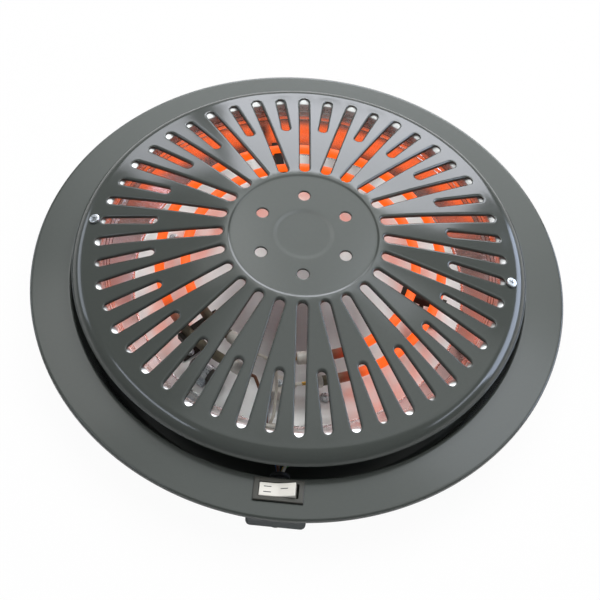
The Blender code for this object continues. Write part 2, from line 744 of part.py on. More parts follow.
def pin_tip(radius, angle, way):
    """Just past a terminal pin, and one wire lead further on."""
    tip = COLD_END + BEAD_LENGTH + PIN_REACH + 2.0 * GAP
    start = polar(radius, angle, RING_HEIGHT) + tangent(angle, way) * tip
    return [start, start + tangent(angle, way) * WIRE_LEAD / 2.0]


def build_brackets(pan):
    """Three black brackets whose saddles carry both rings over the pan floor, each on a rivet."""
    foot = PAN_FLOOR + GAP
    middle = (OUTER_RING_RADIUS + INNER_RING_RADIUS) / 2.0
    reach = RING_PITCH / 2.0 + TUBE_RADIUS + BRACKET_HEAD_MARGIN
    head_low = RING_HEIGHT - TUBE_RADIUS - BRACKET_CAP
    head_high = RING_HEIGHT + BRACKET_SADDLE_RISE
    web = BRACKET_WEB / 2.0
    outline = [
        (-web, foot), (BRACKET_FOOT_LENGTH, foot),
        (BRACKET_FOOT_LENGTH, foot + BRACKET_FOOT_HEIGHT), (web, foot + BRACKET_FOOT_HEIGHT),
        (web, head_low), (reach, head_low + BRACKET_TAPER), (reach, head_high), (-reach, head_high),
        (-reach, head_low + BRACKET_TAPER), (-web, head_low),
    ]
    rivet_place = middle + (BRACKET_FOOT_LENGTH + web) / 2.0
    grip = foot + BRACKET_FOOT_HEIGHT + GAP
    under = PAN_UNDERSIDE - GAP
    rivet_outline = [
        (0.0, grip + RIVET_HEAD_HEIGHT), (RIVET_HEAD_RADIUS * HEAD_TOP_SHARE, grip + RIVET_HEAD_HEIGHT),
        (RIVET_HEAD_RADIUS, grip), (RIVET_RADIUS, grip), (RIVET_RADIUS, under),
        (RIVET_HEAD_RADIUS, under), (RIVET_HEAD_RADIUS * HEAD_TOP_SHARE, under - RIVET_HEAD_HEIGHT),
        (0.0, under - RIVET_HEAD_HEIGHT),
    ]
    for number, angle in enumerate(evenly(BRACKET_COUNT, BRACKET_FIRST_ANGLE), 1):
        bracket = upright(plate(f"element_bracket_{number}", [outline], BRACKET_WIDTH,
                                BLACK_STEEL))
        place(bracket, middle, angle, 0.0)
        for ring, offset in (("inner", -RING_PITCH / 2.0), ("outer", RING_PITCH / 2.0)):
            saddle = cylinder(f"{ring}_saddle_{number}", TUBE_RADIUS + BRACKET_TUBE_GAP,
                              -BRACKET_WIDTH, BRACKET_WIDTH)
            saddle.data.transform(Matrix.Rotation(math.pi / 2.0, 4, "X"))
            cut(bracket, place(saddle, middle + offset, angle, RING_HEIGHT))
        rivet = turned(f"bracket_rivet_{number}", rivet_outline, ZINC_STEEL)
        hole = drill(f"rivet_hole_{number}", RIVET_RADIUS, under, grip)
        place(rivet, rivet_place, angle, 0.0)
        place(hole, rivet_place, angle, 0.0)
        cut(bracket, hole)
        cut(pan, hole)


def build_cutout():
    """Black thermal cut-out on the pan floor, under a sheet clip."""
    radius = PAN_FLOOR_RADIUS - CUTOUT_INSET
    centre = PAN_FLOOR + 2.0 * GAP + CUTOUT_RADIUS
    body = cylinder("thermal_cutout", CUTOUT_RADIUS, -CUTOUT_LENGTH / 2.0, CUTOUT_LENGTH / 2.0,
                    BLACK_PLASTIC)
    body.data.transform(Matrix.Rotation(math.pi / 2.0, 4, "X"))
    place(body, radius, CUTOUT_ANGLE, centre)
    inner = CUTOUT_RADIUS + GAP
    outer = inner + CUTOUT_CLIP_SHEET
    low = PAN_FLOOR + GAP - centre
    arch_steps = [math.pi * i / CUTOUT_CLIP_STEPS for i in range(CUTOUT_CLIP_STEPS + 1)]
    outside = [(outer * math.cos(a), outer * math.sin(a)) for a in arch_steps]
    inside = [(inner * math.cos(a), inner * math.sin(a)) for a in reversed(arch_steps)]
    ear = low + CUTOUT_CLIP_SHEET
    outline = [(CUTOUT_CLIP_EAR, low), (CUTOUT_CLIP_EAR, ear), (outer, ear)] + outside \
        + [(-outer, ear), (-CUTOUT_CLIP_EAR, ear), (-CUTOUT_CLIP_EAR, low), (-inner, low)] \
        + inside + [(inner, low)]
    clip = upright(plate("cutout_clip", [outline], CUTOUT_CLIP_WIDTH, ZINC_STEEL))
    place(clip, radius, CUTOUT_ANGLE, centre)


def build_block(pan):
    """Ceramic terminal block with one fixing screw down its middle."""
    radius = PAN_FLOOR_RADIUS - BLOCK_INSET
    foot = PAN_FLOOR + GAP
    top = foot + BLOCK_HEIGHT
    block = box("terminal_block", (-BLOCK_WIDTH / 2.0, -BLOCK_LENGTH / 2.0, foot),
                (BLOCK_WIDTH / 2.0, BLOCK_LENGTH / 2.0, top), STEATITE, BLOCK_BEVEL)
    screw = headed_pin("terminal_block_screw", BLOCK_SCREW_RADIUS,
                       BLOCK_HEIGHT + PAN_SHEET + 2.0 * BLOCK_SCREW_HEAD_HEIGHT,
                       BLOCK_SCREW_HEAD_RADIUS, BLOCK_SCREW_HEAD_HEIGHT, ZINC_STEEL)
    hole = drill("terminal_block_hole", BLOCK_SCREW_RADIUS, PAN_UNDERSIDE, top)
    place(block, radius, BLOCK_ANGLE, 0.0)
    place(screw, radius, BLOCK_ANGLE, top + GAP)
    place(hole, radius, BLOCK_ANGLE, 0.0)
    cut(block, hole)
    cut(pan, hole)


def bush(name, head_bottom, tail, material):
    """A headed bush: head over head_bottom, barrel down to -tail, bore right through."""
    outer = BUSH_BORE_RADIUS + BUSH_WALL
    head = outer + BUSH_HEAD_OVERLAP
    outline = [(head, head_bottom + BUSH_HEAD_HEIGHT), (head, head_bottom),
               (outer, head_bottom), (outer, -tail),
               (BUSH_BORE_RADIUS, -tail), (BUSH_BORE_RADIUS, head_bottom + BUSH_HEAD_HEIGHT)]
    return turned(name, outline, material, closed=True)


def pan_bush_place():
    """Radius, height and tilt of the bush in the pan's sloping wall, its +Z into the pan."""
    rise = pan_mouth_height() - PAN_FLOOR
    radius = PAN_FLOOR_RADIUS + PAN_WALL_RUN * PAN_BUSH_RISE / rise
    return radius, PAN_FLOOR + PAN_BUSH_RISE, -math.atan2(rise, PAN_WALL_RUN)


def box_bush_place():
    """Radius of the casing wall at the box bush, its head's seat inside, its tail in the box."""
    lowest = BOX_BUSH_HEIGHT - BUSH_BORE_RADIUS - BUSH_WALL - BUSH_HEAD_OVERLAP
    wall = bowl_wall_radius(BOX_BUSH_HEIGHT)
    head = wall - bowl_wall_radius(lowest) + GAP
    return wall, head, BOX_INNER_FACE + BOX_WALL + BOX_BUSH_TAIL - wall


def build_bushes(casing, pan, switch_box):
    """Ceramic bush in the pan wall and rubber bush from the casing into the switch box."""
    radius, height, tilt = pan_bush_place()
    pan_bush = bush("pan_wire_bush", GAP, PAN_BUSH_TAIL, STEATITE)
    pan_hole = drill("pan_bush_hole", BUSH_BORE_RADIUS + BUSH_WALL, -PAN_SHEET, 0.0)
    for piece in (pan_bush, pan_hole):
        place(piece, radius, PAN_BUSH_ANGLE, height, tilt)
    cut(pan, pan_hole)
    wall, head, tail = box_bush_place()
    box_bush = bush("box_wire_bush", head, tail, BLACK_RUBBER)
    box_hole = drill("box_bush_hole", BUSH_BORE_RADIUS + BUSH_WALL, -tail, head)
    for piece in (box_bush, box_hole):
        place(piece, wall, SWITCH_ANGLE, BOX_BUSH_HEIGHT, -math.pi / 2.0)
    cut(casing, box_hole)
    cut(switch_box, box_hole)


def build_switch(casing):
    """Switch housing with its bezel, terminal blades, and the rocker on its own stub axles."""
    bottom = -HOUSING_DEPTH
    bezel = box("switch_housing", (-BEZEL_WIDTH / 2.0, -BEZEL_LENGTH / 2.0, GAP),
                (BEZEL_WIDTH / 2.0, BEZEL_LENGTH / 2.0, BEZEL_HEIGHT), BLACK_PLASTIC, BEZEL_BEVEL)
    body = box("housing_body", (-HOUSING_WIDTH / 2.0, -HOUSING_LENGTH / 2.0, bottom),
               (HOUSING_WIDTH / 2.0, HOUSING_LENGTH / 2.0, BEZEL_HEIGHT / 2.0))
    cavity = box("housing_cavity", (-CAVITY_WIDTH / 2.0, -CAVITY_LENGTH / 2.0, -CAVITY_DEPTH),
                 (CAVITY_WIDTH / 2.0, CAVITY_LENGTH / 2.0, BEZEL_HEIGHT + OVERRUN))
    axle_bore = drill("axle_bore", AXLE_RADIUS, -HOUSING_WIDTH / 2.0, HOUSING_WIDTH / 2.0)
    axle_bore.data.transform(Matrix.Rotation(math.pi / 2.0, 4, "Y"))
    for piece in (bezel, body, cavity):
        place(piece, SWITCH_CIRCLE, SWITCH_ANGLE, FLANGE_TOP)
    place(axle_bore, SWITCH_CIRCLE, SWITCH_ANGLE, AXLE_HEIGHT)
    join(bezel, body)
    cut(bezel, cavity, axle_bore)
    for number in range(BLADE_COUNT):
        side = (number - (BLADE_COUNT - 1) / 2.0) * BLADE_PITCH
        blade = box(f"switch_blade_{number + 1}",
                    (-BLADE_SHEET / 2.0, side - BLADE_WIDTH / 2.0, bottom - GAP - BLADE_LENGTH),
                    (BLADE_SHEET / 2.0, side + BLADE_WIDTH / 2.0, bottom - GAP), BRASS)
        place(blade, SWITCH_CIRCLE, SWITCH_ANGLE, FLANGE_TOP)


def build_rocker():
    """White rocker, its origin on its axle, tipped down at its left end."""
    half = ROCKER_LENGTH / 2.0
    end_height = ROCKER_CROWN + half * math.tan(ROCKER_RAKE)
    outline = [(0.0, ROCKER_CROWN), (-half, end_height), (-half, 0.0),
               (-half + ROCKER_SKIRT_INSET, -ROCKER_SKIRT),
               (half - ROCKER_SKIRT_INSET, -ROCKER_SKIRT), (half, 0.0), (half, end_height)]
    rocker = upright(plate("rocker", [outline], ROCKER_WIDTH, WHITE_PLASTIC))
    reach = CAVITY_WIDTH / 2.0 + AXLE_REACH
    axle = cylinder("rocker_axle", AXLE_RADIUS, -reach, reach)
    axle.data.transform(Matrix.Rotation(math.pi / 2.0, 4, "X"))
    for piece in (rocker, axle):
        piece.location = polar(SWITCH_CIRCLE, SWITCH_ANGLE, AXLE_HEIGHT)
        piece.rotation_euler = (0.0, -ROCKER_RAKE, 0.0)
    join(rocker, axle)


def build_box():
    """Plastic box under the flange round the switch terminals, open at its top."""
    top = FLANGE_UNDERSIDE - GAP
    half = BOX_LENGTH / 2.0
    above = top + BOX_BEVEL + OVERRUN
    shell = box("switch_box", (BOX_INNER_FACE, -half, BOX_FLOOR), (BOX_OUTER_FACE, half, above),
                GREY_PLASTIC, BOX_BEVEL)
    hollow = box("box_hollow",
                 (BOX_INNER_FACE + BOX_WALL, BOX_WALL - half, BOX_FLOOR + BOX_WALL),
                 (BOX_OUTER_FACE - BOX_WALL, half - BOX_WALL, above + BOX_BEVEL),
                 bevel=BOX_BEVEL - BOX_WALL)
    top_cut = box("box_top_cut", (BOX_INNER_FACE - OVERRUN, -half - OVERRUN, top),
                  (BOX_OUTER_FACE + OVERRUN, half + OVERRUN, above + 2.0 * BOX_BEVEL))
    for piece in (shell, hollow, top_cut):
        place(piece, 0.0, SWITCH_ANGLE, 0.0)
    cut(shell, hollow, top_cut)
    return shell


def build_box_fixings(switch_box):
    """Two studs welded under the flange, and the screws that hold the box to them."""
    radius = BOX_OUTER_FACE - STUD_INSET
    stud_bottom = BOX_FLOOR + BOX_WALL + GAP
    stud_top = FLANGE_UNDERSIDE - GAP
    head_top = BOX_FLOOR - GAP
    for side, offset in (("left", -STUD_SPACING / 2.0), ("right", STUD_SPACING / 2.0)):
        stud = cylinder(f"box_stud_{side}", STUD_RADIUS, stud_bottom, stud_top, ZINC_STEEL)
        screw = headed_pin(f"box_screw_{side}", BOX_SCREW_RADIUS,
                           stud_bottom + BOX_SCREW_GRIP - head_top,
                           BOX_SCREW_HEAD_RADIUS, BOX_SCREW_HEAD_HEIGHT, ZINC_STEEL)
        hole = cylinder(f"box_screw_hole_{side}", BOX_SCREW_RADIUS + GAP, BOX_FLOOR - OVERRUN,
                        stud_bottom + BOX_SCREW_GRIP + GAP)
        stud.location = hole.location = (offset, -radius, 0.0)
        screw.location = (offset, -radius, head_top)
        screw.rotation_euler = (math.pi, 0.0, 0.0)
        cut(stud, hole)
        cut(switch_box, hole)


def build_gland(switch_box):
    """Bush in the box floor where the mains cord comes out."""
    outer = GLAND_BORE_RADIUS + GLAND_WALL
    head = outer + GLAND_HEAD_OVERLAP
    head_top = BOX_FLOOR - GAP
    top = BOX_FLOOR + BOX_WALL + GLAND_TAIL
    outline = [(outer, top), (outer, head_top), (head, head_top),
               (outer, head_top - GLAND_HEAD_HEIGHT),
               (GLAND_BORE_RADIUS, head_top - GLAND_HEAD_HEIGHT), (GLAND_BORE_RADIUS, top)]
    gland = turned("cord_gland", outline, BLACK_RUBBER, closed=True)
    hole = drill("gland_hole", outer, BOX_FLOOR, BOX_FLOOR + BOX_WALL)
    for piece in (gland, hole):
        piece.location = (0.0, -(BOX_OUTER_FACE - STUD_INSET), 0.0)
    cut(switch_box, hole)


def build_earth_point(casing):
    """Earth screw in the casing floor, over the ring terminal of the earth lead."""
    radius = BOWL_FLOOR_RADIUS - EARTH_INSET
    ring_low = CASING_FLOOR + GAP
    head_low = ring_low + EARTH_RING_SHEET + GAP
    screw = headed_pin("earth_screw", EARTH_SHANK_RADIUS,
                       head_low - FOOT_HEIGHT + EARTH_SHANK_REACH,
                       EARTH_HEAD_RADIUS, EARTH_HEAD_HEIGHT, BRASS)
    ring = cylinder("earth_terminal", EARTH_RING_RADIUS, ring_low, ring_low + EARTH_RING_SHEET,
                    BRASS)
    hole = drill("earth_hole", EARTH_SHANK_RADIUS, FOOT_HEIGHT, head_low)
    place(screw, radius, EARTH_ANGLE, head_low)
    place(ring, radius, EARTH_ANGLE, 0.0)
    place(hole, radius, EARTH_ANGLE, 0.0)
    cut(casing, hole)
    cut(ring, hole)


def through_bush(frame, turn, mouth, tail):
    """Guide points of one wire down a bush: fanned out before its mouth, then along its bore."""
    lift, side = WIRE_SPREAD * math.sin(turn), WIRE_SPREAD * math.cos(turn)
    return [
        frame @ Vector((WIRE_FAN_SHARE * lift, WIRE_FAN_SHARE * side, mouth + WIRE_LEAD)),
        frame @ Vector((lift, side, mouth)),
        frame @ Vector((lift, side, mouth - WIRE_GRIP)),
        frame @ Vector((lift, side, WIRE_GRIP - tail)),
        frame @ Vector((lift, side, -tail)),
    ]


def through_pan_bush(turn):
    """Guide points of one wire out of the pan."""
    radius, height, tilt = pan_bush_place()
    turned_in = Matrix.Rotation(PAN_BUSH_ANGLE, 4, "Z") @ Matrix.Rotation(tilt, 4, "Y")
    frame = Matrix.Translation(polar(radius, PAN_BUSH_ANGLE, height)) @ turned_in
    return through_bush(frame, turn, GAP + BUSH_HEAD_HEIGHT, PAN_BUSH_TAIL)


def through_box_bush(turn):
    """Guide points of one wire from the casing into the switch box."""
    wall, head, tail = box_bush_place()
    turned_out = Matrix.Rotation(SWITCH_ANGLE, 4, "Z") @ Matrix.Rotation(-math.pi / 2.0, 4, "Y")
    frame = Matrix.Translation(polar(wall, SWITCH_ANGLE, BOX_BUSH_HEIGHT)) @ turned_out
    return through_bush(frame, turn, head + GAP + BUSH_HEAD_HEIGHT, tail)


def block_port(face, offset):
    """Guide points where a wire meets the terminal block: on its face, then a lead away."""
    centre = polar(PAN_FLOOR_RADIUS - BLOCK_INSET, BLOCK_ANGLE, PAN_FLOOR + BLOCK_HEIGHT / 2.0)
    outwards = polar(face, BLOCK_ANGLE)
    start = centre + tangent(BLOCK_ANGLE, offset) + outwards * (BLOCK_WIDTH / 2.0 + 2.0 * GAP)
    return [start, start + outwards * WIRE_LEAD / 2.0]


def build_wires():
    """Leads from the element ends through both bushes to the switch, and the earth lead."""
    outer_left = pin_tip(OUTER_RING_RADIUS, OUTER_RING_END, 1.0)
    outer_right = pin_tip(OUTER_RING_RADIUS, OUTER_RING_START, -1.0)
    inner_left = pin_tip(INNER_RING_RADIUS, INNER_RING_END, 1.0)
    inner_right = pin_tip(INNER_RING_RADIUS, INNER_RING_START, -1.0)
    port = BLOCK_LENGTH / 4.0
    blade_face = -(SWITCH_CIRCLE - BLADE_SHEET / 2.0 - 2.0 * GAP)
    blade_middle = FLANGE_TOP - HOUSING_DEPTH - GAP - BLADE_LENGTH / 2.0
    connector_face = -(SWITCH_CIRCLE + BLADE_SHEET / 2.0 + 2.0 * GAP)
    connector_low = BOX_FLOOR + BOX_WALL + GLAND_TAIL + GAP
    connector_middle = connector_low + CONNECTOR_HEIGHT / 2.0
    straight = Vector((0.0, BOX_BUSH_TAIL, 0.0))
    brown_end = Vector((-BLADE_PITCH, blade_face, blade_middle))
    white_end = Vector((BLADE_PITCH, blade_face, blade_middle))
    quarter = math.pi / 4.0
    tube("wire_brown", smooth_route(outer_left + through_pan_bush(3.0 * quarter)
                                    + through_box_bush(3.0 * quarter)
                                    + [brown_end + straight, brown_end]),
         WIRE_RADIUS, BROWN_WIRE)
    between = polar((INNER_RING_RADIUS + OUTER_RING_RADIUS) / 2.0, WHITE_WIRE_ANGLE, RING_HEIGHT)
    tube("wire_white_sleeved", smooth_route(inner_left + [between] + through_pan_bush(quarter)
                                            + through_box_bush(quarter)
                                            + [white_end + straight, white_end]),
         WIRE_RADIUS, WHITE_SLEEVE)
    tube("wire_inner_link", smooth_route(inner_right + block_port(-1.0, port)[::-1]),
         WIRE_RADIUS, WHITE_SLEEVE)
    tube("wire_outer_link", smooth_route(outer_right + block_port(1.0, port)[::-1]),
         WIRE_RADIUS, WHITE_SLEEVE)
    blue_end = Vector((-CONNECTOR_PITCH / 2.0, connector_face, connector_middle))
    tube("wire_blue", smooth_route(block_port(1.0, -port) + through_pan_bush(-3.0 * quarter)
                                   + through_box_bush(-3.0 * quarter)
                                   + [blue_end + straight, blue_end]),
         WIRE_RADIUS, BLUE_WIRE)
    earth_box_end = Vector((CONNECTOR_PITCH / 2.0, connector_face, connector_middle))
    ring = polar(BOWL_FLOOR_RADIUS - EARTH_INSET, EARTH_ANGLE, CASING_FLOOR + GAP + WIRE_RADIUS)
    beside = tangent(EARTH_ANGLE, -1.0)
    earth_start = ring + beside * (EARTH_RING_RADIUS + 2.0 * GAP)
    earth_lift = earth_start + beside * WIRE_LEAD + Vector((0.0, 0.0, WIRE_LEAD / 2.0))
    tube("wire_earth", smooth_route([earth_start, earth_lift]
                                    + through_box_bush(-quarter)
                                    + [earth_box_end + straight, earth_box_end]),
         WIRE_RADIUS, EARTH_WIRE)
    box("mains_connector", (-CONNECTOR_PITCH, connector_face - CONNECTOR_LENGTH, connector_low),
        (CONNECTOR_PITCH, connector_face - 2.0 * GAP, connector_low + CONNECTOR_HEIGHT),
        WHITE_PLASTIC)


casing_part = build_casing()
build_feet(casing_part)
grille_part = build_grille()
pan_part = build_pan()
build_grille_fixings(grille_part, pan_part)
build_pan_supports(pan_part)
build_element("outer", OUTER_RING_RADIUS, OUTER_RING_START, OUTER_RING_END)
build_element("inner", INNER_RING_RADIUS, INNER_RING_START, INNER_RING_END)
build_brackets(pan_part)
build_cutout()
build_block(pan_part)
build_switch(casing_part)
build_rocker()
box_part = build_box()
build_box_fixings(box_part)
build_gland(box_part)
build_bushes(casing_part, pan_part, box_part)
build_earth_point(casing_part)
build_wires()
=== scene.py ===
# %% [markdown]
# # An electric brazier
# A round under-table heater: a drawn steel casing with a wide flange, a pressed and
# slotted steel grille, a bright pan with two glowing ring elements, and a rocker switch.
# The CAD model is loaded first and gives every size and place. Each step after it makes
# the finer form of one piece, or gives a CAD piece its finish.

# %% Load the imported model
import math

import bmesh
import bpy
from mathutils import Matrix, Vector


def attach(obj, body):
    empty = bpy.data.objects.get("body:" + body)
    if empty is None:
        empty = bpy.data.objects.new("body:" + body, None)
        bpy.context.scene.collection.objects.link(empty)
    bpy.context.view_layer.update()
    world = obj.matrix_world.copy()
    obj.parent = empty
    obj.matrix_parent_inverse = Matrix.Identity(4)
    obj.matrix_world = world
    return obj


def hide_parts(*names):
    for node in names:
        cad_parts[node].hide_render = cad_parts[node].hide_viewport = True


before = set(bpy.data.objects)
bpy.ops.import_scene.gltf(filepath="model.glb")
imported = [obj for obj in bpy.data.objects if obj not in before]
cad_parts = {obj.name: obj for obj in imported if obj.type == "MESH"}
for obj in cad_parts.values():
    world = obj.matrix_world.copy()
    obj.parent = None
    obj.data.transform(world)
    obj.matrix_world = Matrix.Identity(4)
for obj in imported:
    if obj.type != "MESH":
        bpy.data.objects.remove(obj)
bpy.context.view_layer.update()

# %% [markdown]
# ## Sizes
# The grille, the casing and the pan are turned or pressed round one axis, so a few radii
# and heights say where everything is. They are the same values as in the CAD model, in
# metres, because a finer piece has to take the place of the plain one exactly.

# %% Sizes of casing, grille and pan
GAP = 0.0003
FLANGE_RADIUS = 0.195
FLANGE_TOP = 0.040
CASING_SHEET = 0.0008
CASING_FLOOR = 0.0048
MOUTH_RADIUS = 0.166
BOWL_FLOOR_RADIUS = 0.156
RIM_DROP = 0.0038
HUB_RADIUS = 0.0556
CREST_RADIUS = 0.158
CREST_HEIGHT = 0.0616
DOME_RUN = CREST_RADIUS - HUB_RADIUS
DOME_SLOPE_SHARE = 0.17
DOME_CROWN = 0.77
GRILLE_SHEET = 0.001
LIP_RADIUS = 0.164
LIP_HEIGHT = 0.0544
PAN_FLOOR = 0.027
PAN_SHEET = 0.0006
PAN_FLOOR_RADIUS = 0.1224
PAN_MOUTH_RADIUS = 0.1437
RING_HEIGHT = 0.0565
OUTER_RING_RADIUS = 0.102
INNER_RING_RADIUS = 0.0833


def dome_height(radius):
    """Height of the grille's upper face, level inside the hub and outside the crest."""
    run = min(max(CREST_RADIUS - radius, 0.0), DOME_RUN)
    return CREST_HEIGHT + DOME_SLOPE_SHARE * run + run * (2.0 * DOME_RUN - run) / (2.0 * DOME_CROWN)


def dome_tilt(radius):
    """How far the grille's face leans outwards at a radius."""
    return math.atan(DOME_SLOPE_SHARE + (radius - HUB_RADIUS) / DOME_CROWN)


def spaced(first, last, parts):
    """Evenly spaced numbers from the first to the last, with both."""
    return [first + (last - first) * i / parts for i in range(parts + 1)]


def polar(radius, angle, height=0.0):
    """A point at a radius and an angle about the axis."""
    return Vector((radius * math.cos(angle), radius * math.sin(angle), height))


# %% [markdown]
# ## Small tools
# The same few jobs come back all the time: adding a node, keeping a mesh as an object,
# turning what modifiers make into a plain mesh, cutting and joining, and giving a piece its
# finish and its body. One short function does each, so the steps below can stay about the
# object.

# %% Small tools for nodes and meshes
SHARP_ANGLE = math.radians(38.0)


def linear(hex_colour):
    """An sRGB hex colour as the linear numbers that a shader works with."""
    shares = [int(hex_colour[i:i + 2], 16) / 255.0 for i in (1, 3, 5)]
    return tuple(s / 12.92 if s <= 0.04045 else ((s + 0.055) / 1.055) ** 2.4 for s in shares) + (1.0,)


def add(tree, kind, inputs=None, **settings):
    """Adds a node. An input is given a value, or a socket to be joined to."""
    node = tree.nodes.new(kind)
    for name, value in settings.items():
        setattr(node, name, value)
    for key, value in (inputs or {}).items():
        if isinstance(value, bpy.types.NodeSocket):
            tree.links.new(value, node.inputs[key])
        else:
            node.inputs[key].default_value = value
    return node


def as_object(name, shape):
    """Keeps a bmesh as a linked object, smooth but for its sharp corners."""
    mesh = bpy.data.meshes.new(name)
    shape.to_mesh(mesh)
    shape.free()
    mesh.shade_smooth()
    mesh.set_sharp_from_angle(angle=SHARP_ANGLE)
    piece = bpy.data.objects.new(name, mesh)
    bpy.context.scene.collection.objects.link(piece)
    return piece


def settle(piece):
    """Makes what a piece's modifiers show its own plain mesh, and removes them."""
    depsgraph = bpy.context.evaluated_depsgraph_get()
    mesh = bpy.data.meshes.new_from_object(
        piece.evaluated_get(depsgraph), preserve_all_data_layers=True, depsgraph=depsgraph)
    piece.modifiers.clear()
    piece.data = mesh
    mesh.shade_smooth()
    mesh.set_sharp_from_angle(angle=SHARP_ANGLE)
    return piece


def grow(name, mesh, tree, values):
    """Runs a Geometry Nodes tree on a mesh and keeps the result as a plain object."""
    piece = bpy.data.objects.new(name, mesh)
    bpy.context.scene.collection.objects.link(piece)
    modifier = piece.modifiers.new(name, "NODES")
    modifier.node_group = tree
    for item in tree.interface.items_tree:
        if item.item_type == "SOCKET" and item.in_out == "INPUT" and item.name in values:
            modifier[item.identifier] = values[item.name]
    return settle(piece)


def discard(*objects):
    """Removes helpers that aren't part of the object."""
    for helper in objects:
        bpy.data.objects.remove(helper)


def combine(piece, operation, *tools):
    """Cuts shapes out of a piece, or joins them to it, and removes them."""
    for tool in tools:
        change = piece.modifiers.new("Combine", "BOOLEAN")
        change.operation = operation
        change.solver = "EXACT"
        change.object = tool
    settle(piece)
    discard(*tools)
    return piece


def thicken(piece, gauge, even=False):
    """Gives a skin the gauge of its sheet, on the side away from its faces."""
    sheet = piece.modifiers.new("Sheet", "SOLIDIFY")
    sheet.thickness = gauge
    sheet.offset = -1.0
    sheet.use_even_offset = even
    return settle(piece)


def fit(piece, body="body", finish=None, nodes=()):
    """Gives a piece its finish, its body and the CAD nodes it stands for."""
    if finish:
        piece.data.materials.clear()
        piece.data.materials.append(finish)
    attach(piece, body)
    if nodes:
        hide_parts(*nodes)
    return piece


print("tools ready")

# %% [markdown]
# ## Turned shapes
# Anything round about an axis is an outline of radius and height, turned round it. The
# outline's corners are rounded first, because even a stamped edge has a small radius, and
# that radius is what catches the light. Blocks get rounded edges for the same reason.

# %% Tools for turned shapes and blocks
FINE_SIDES = 256
ROUND_SIDES = 40


def rounded(corners, steps=5):
    """Rounds an outline: each corner is a radius, a height and the fillet there."""
    outline = []
    for i, (radius, height, fillet) in enumerate(corners):
        here = Vector((radius, height))
        if fillet <= 0.0:
            outline.append(here)
            continue
        back = (Vector(corners[i - 1][:2]) - here).normalized()
        on = (Vector(corners[(i + 1) % len(corners)][:2]) - here).normalized()
        half = back.angle(on) / 2.0
        centre = here + (back + on).normalized() * (fillet / math.sin(half))
        first = here + back * (fillet / math.tan(half)) - centre
        last = here + on * (fillet / math.tan(half)) - centre
        sweep = first.angle_signed(last)
        for step in range(steps + 1):
            outline.append(centre + Matrix.Rotation(-sweep * step / steps, 2) @ first)
    return outline


def turned(name, outline, sides=ROUND_SIDES, closed=False):
    """Turns an outline about Z. One that starts on the axis and runs outwards faces up."""
    shape = bmesh.new()
    rings = []
    for radius, height in outline:
        count = sides if radius > GAP / 100.0 else 1
        rings.append([shape.verts.new(polar(radius, math.tau * i / sides, height)) for i in range(count)])
    pairs = list(zip(rings, rings[1:]))
    if closed:
        pairs.append((rings[-1], rings[0]))
    for inner, outer in pairs:
        for i in range(sides):
            j = (i + 1) % sides
            corners = [outer[i % len(outer)], outer[j % len(outer)],
                       inner[j % len(inner)], inner[i % len(inner)]]
            corners = list(dict.fromkeys(corners))
            if len(corners) > 2:
                shape.faces.new(corners)
    if closed or (len(rings[0]) == 1 and len(rings[-1]) == 1):
        bmesh.ops.recalc_face_normals(shape, faces=shape.faces)
    return as_object(name, shape)


def rod(name, radius, bottom, top, sides=ROUND_SIDES):
    """A plain round rod about Z between two heights."""
    return turned(name, [(0.0, bottom), (radius, bottom), (radius, top), (0.0, top)], sides)


def block(name, low, high, bevel=0.0, segments=4):
    """A block between two corners, its edges rounded."""
    shape = bmesh.new()
    bmesh.ops.create_cube(shape, size=1.0)
    low, high = Vector(low), Vector(high)
    bmesh.ops.scale(shape, verts=shape.verts, vec=high - low)
    bmesh.ops.translate(shape, verts=shape.verts, vec=(low + high) / 2.0)
    if bevel > 0.0:
        bmesh.ops.bevel(shape, geom=list(shape.edges), offset=bevel, segments=segments,
                        profile=0.5, affect="EDGES")
    return as_object(name, shape)


def moulded(name, low, high, corner, edge=0.0):
    """A block with rounded upright corners, and rounded bottom edges where a radius is given."""
    piece = block(name, low, high)
    shape = bmesh.new()
    shape.from_mesh(piece.data)
    upright = [e for e in shape.edges if abs(e.verts[0].co.z - e.verts[1].co.z) > corner]
    bmesh.ops.bevel(shape, geom=upright, offset=corner, segments=8, profile=0.5, affect="EDGES")
    if edge > 0.0:
        lowest = min(v.co.z for v in shape.verts)
        bottom = [e for e in shape.edges if all(v.co.z < lowest + GAP for v in e.verts)
                  and len(e.link_faces) == 2 and any(f.normal.z > -0.9 for f in e.link_faces)]
        bmesh.ops.bevel(shape, geom=bottom, offset=edge, segments=4, profile=0.5, affect="EDGES")
    shape.to_mesh(piece.data)
    shape.free()
    piece.data.shade_smooth()
    piece.data.set_sharp_from_angle(angle=SHARP_ANGLE)
    return piece


def stand(piece, radius, angle, height, tilt=0.0):
    """Moves a piece's mesh out to a radius, an angle and a height, leaning outwards."""
    move = Matrix.Translation(polar(radius, angle, height))
    turn = Matrix.Rotation(angle, 4, "Z") @ Matrix.Rotation(tilt, 4, "Y")
    piece.data.transform(move @ turn)
    return piece


def evenly(count, first):
    """Angles spaced evenly round the axis."""
    return [first + math.tau * i / count for i in range(count)]


print("sides of a large turned piece:", FINE_SIDES)

# %% [markdown]
# ## Stove enamel
# Casing and grille are sprayed with a graphite grey stove enamel and baked. It is a
# dielectric: a dark olive grey body colour under a smooth skin that mirrors lamps without
# colouring them, so the sheet looks pale where it faces a bright wall and nearly black
# where it doesn't. The skin isn't perfectly flat, the orange peel of a sprayed coat is
# waves about 2 mm long and a few microns high, so reflections wander a little.

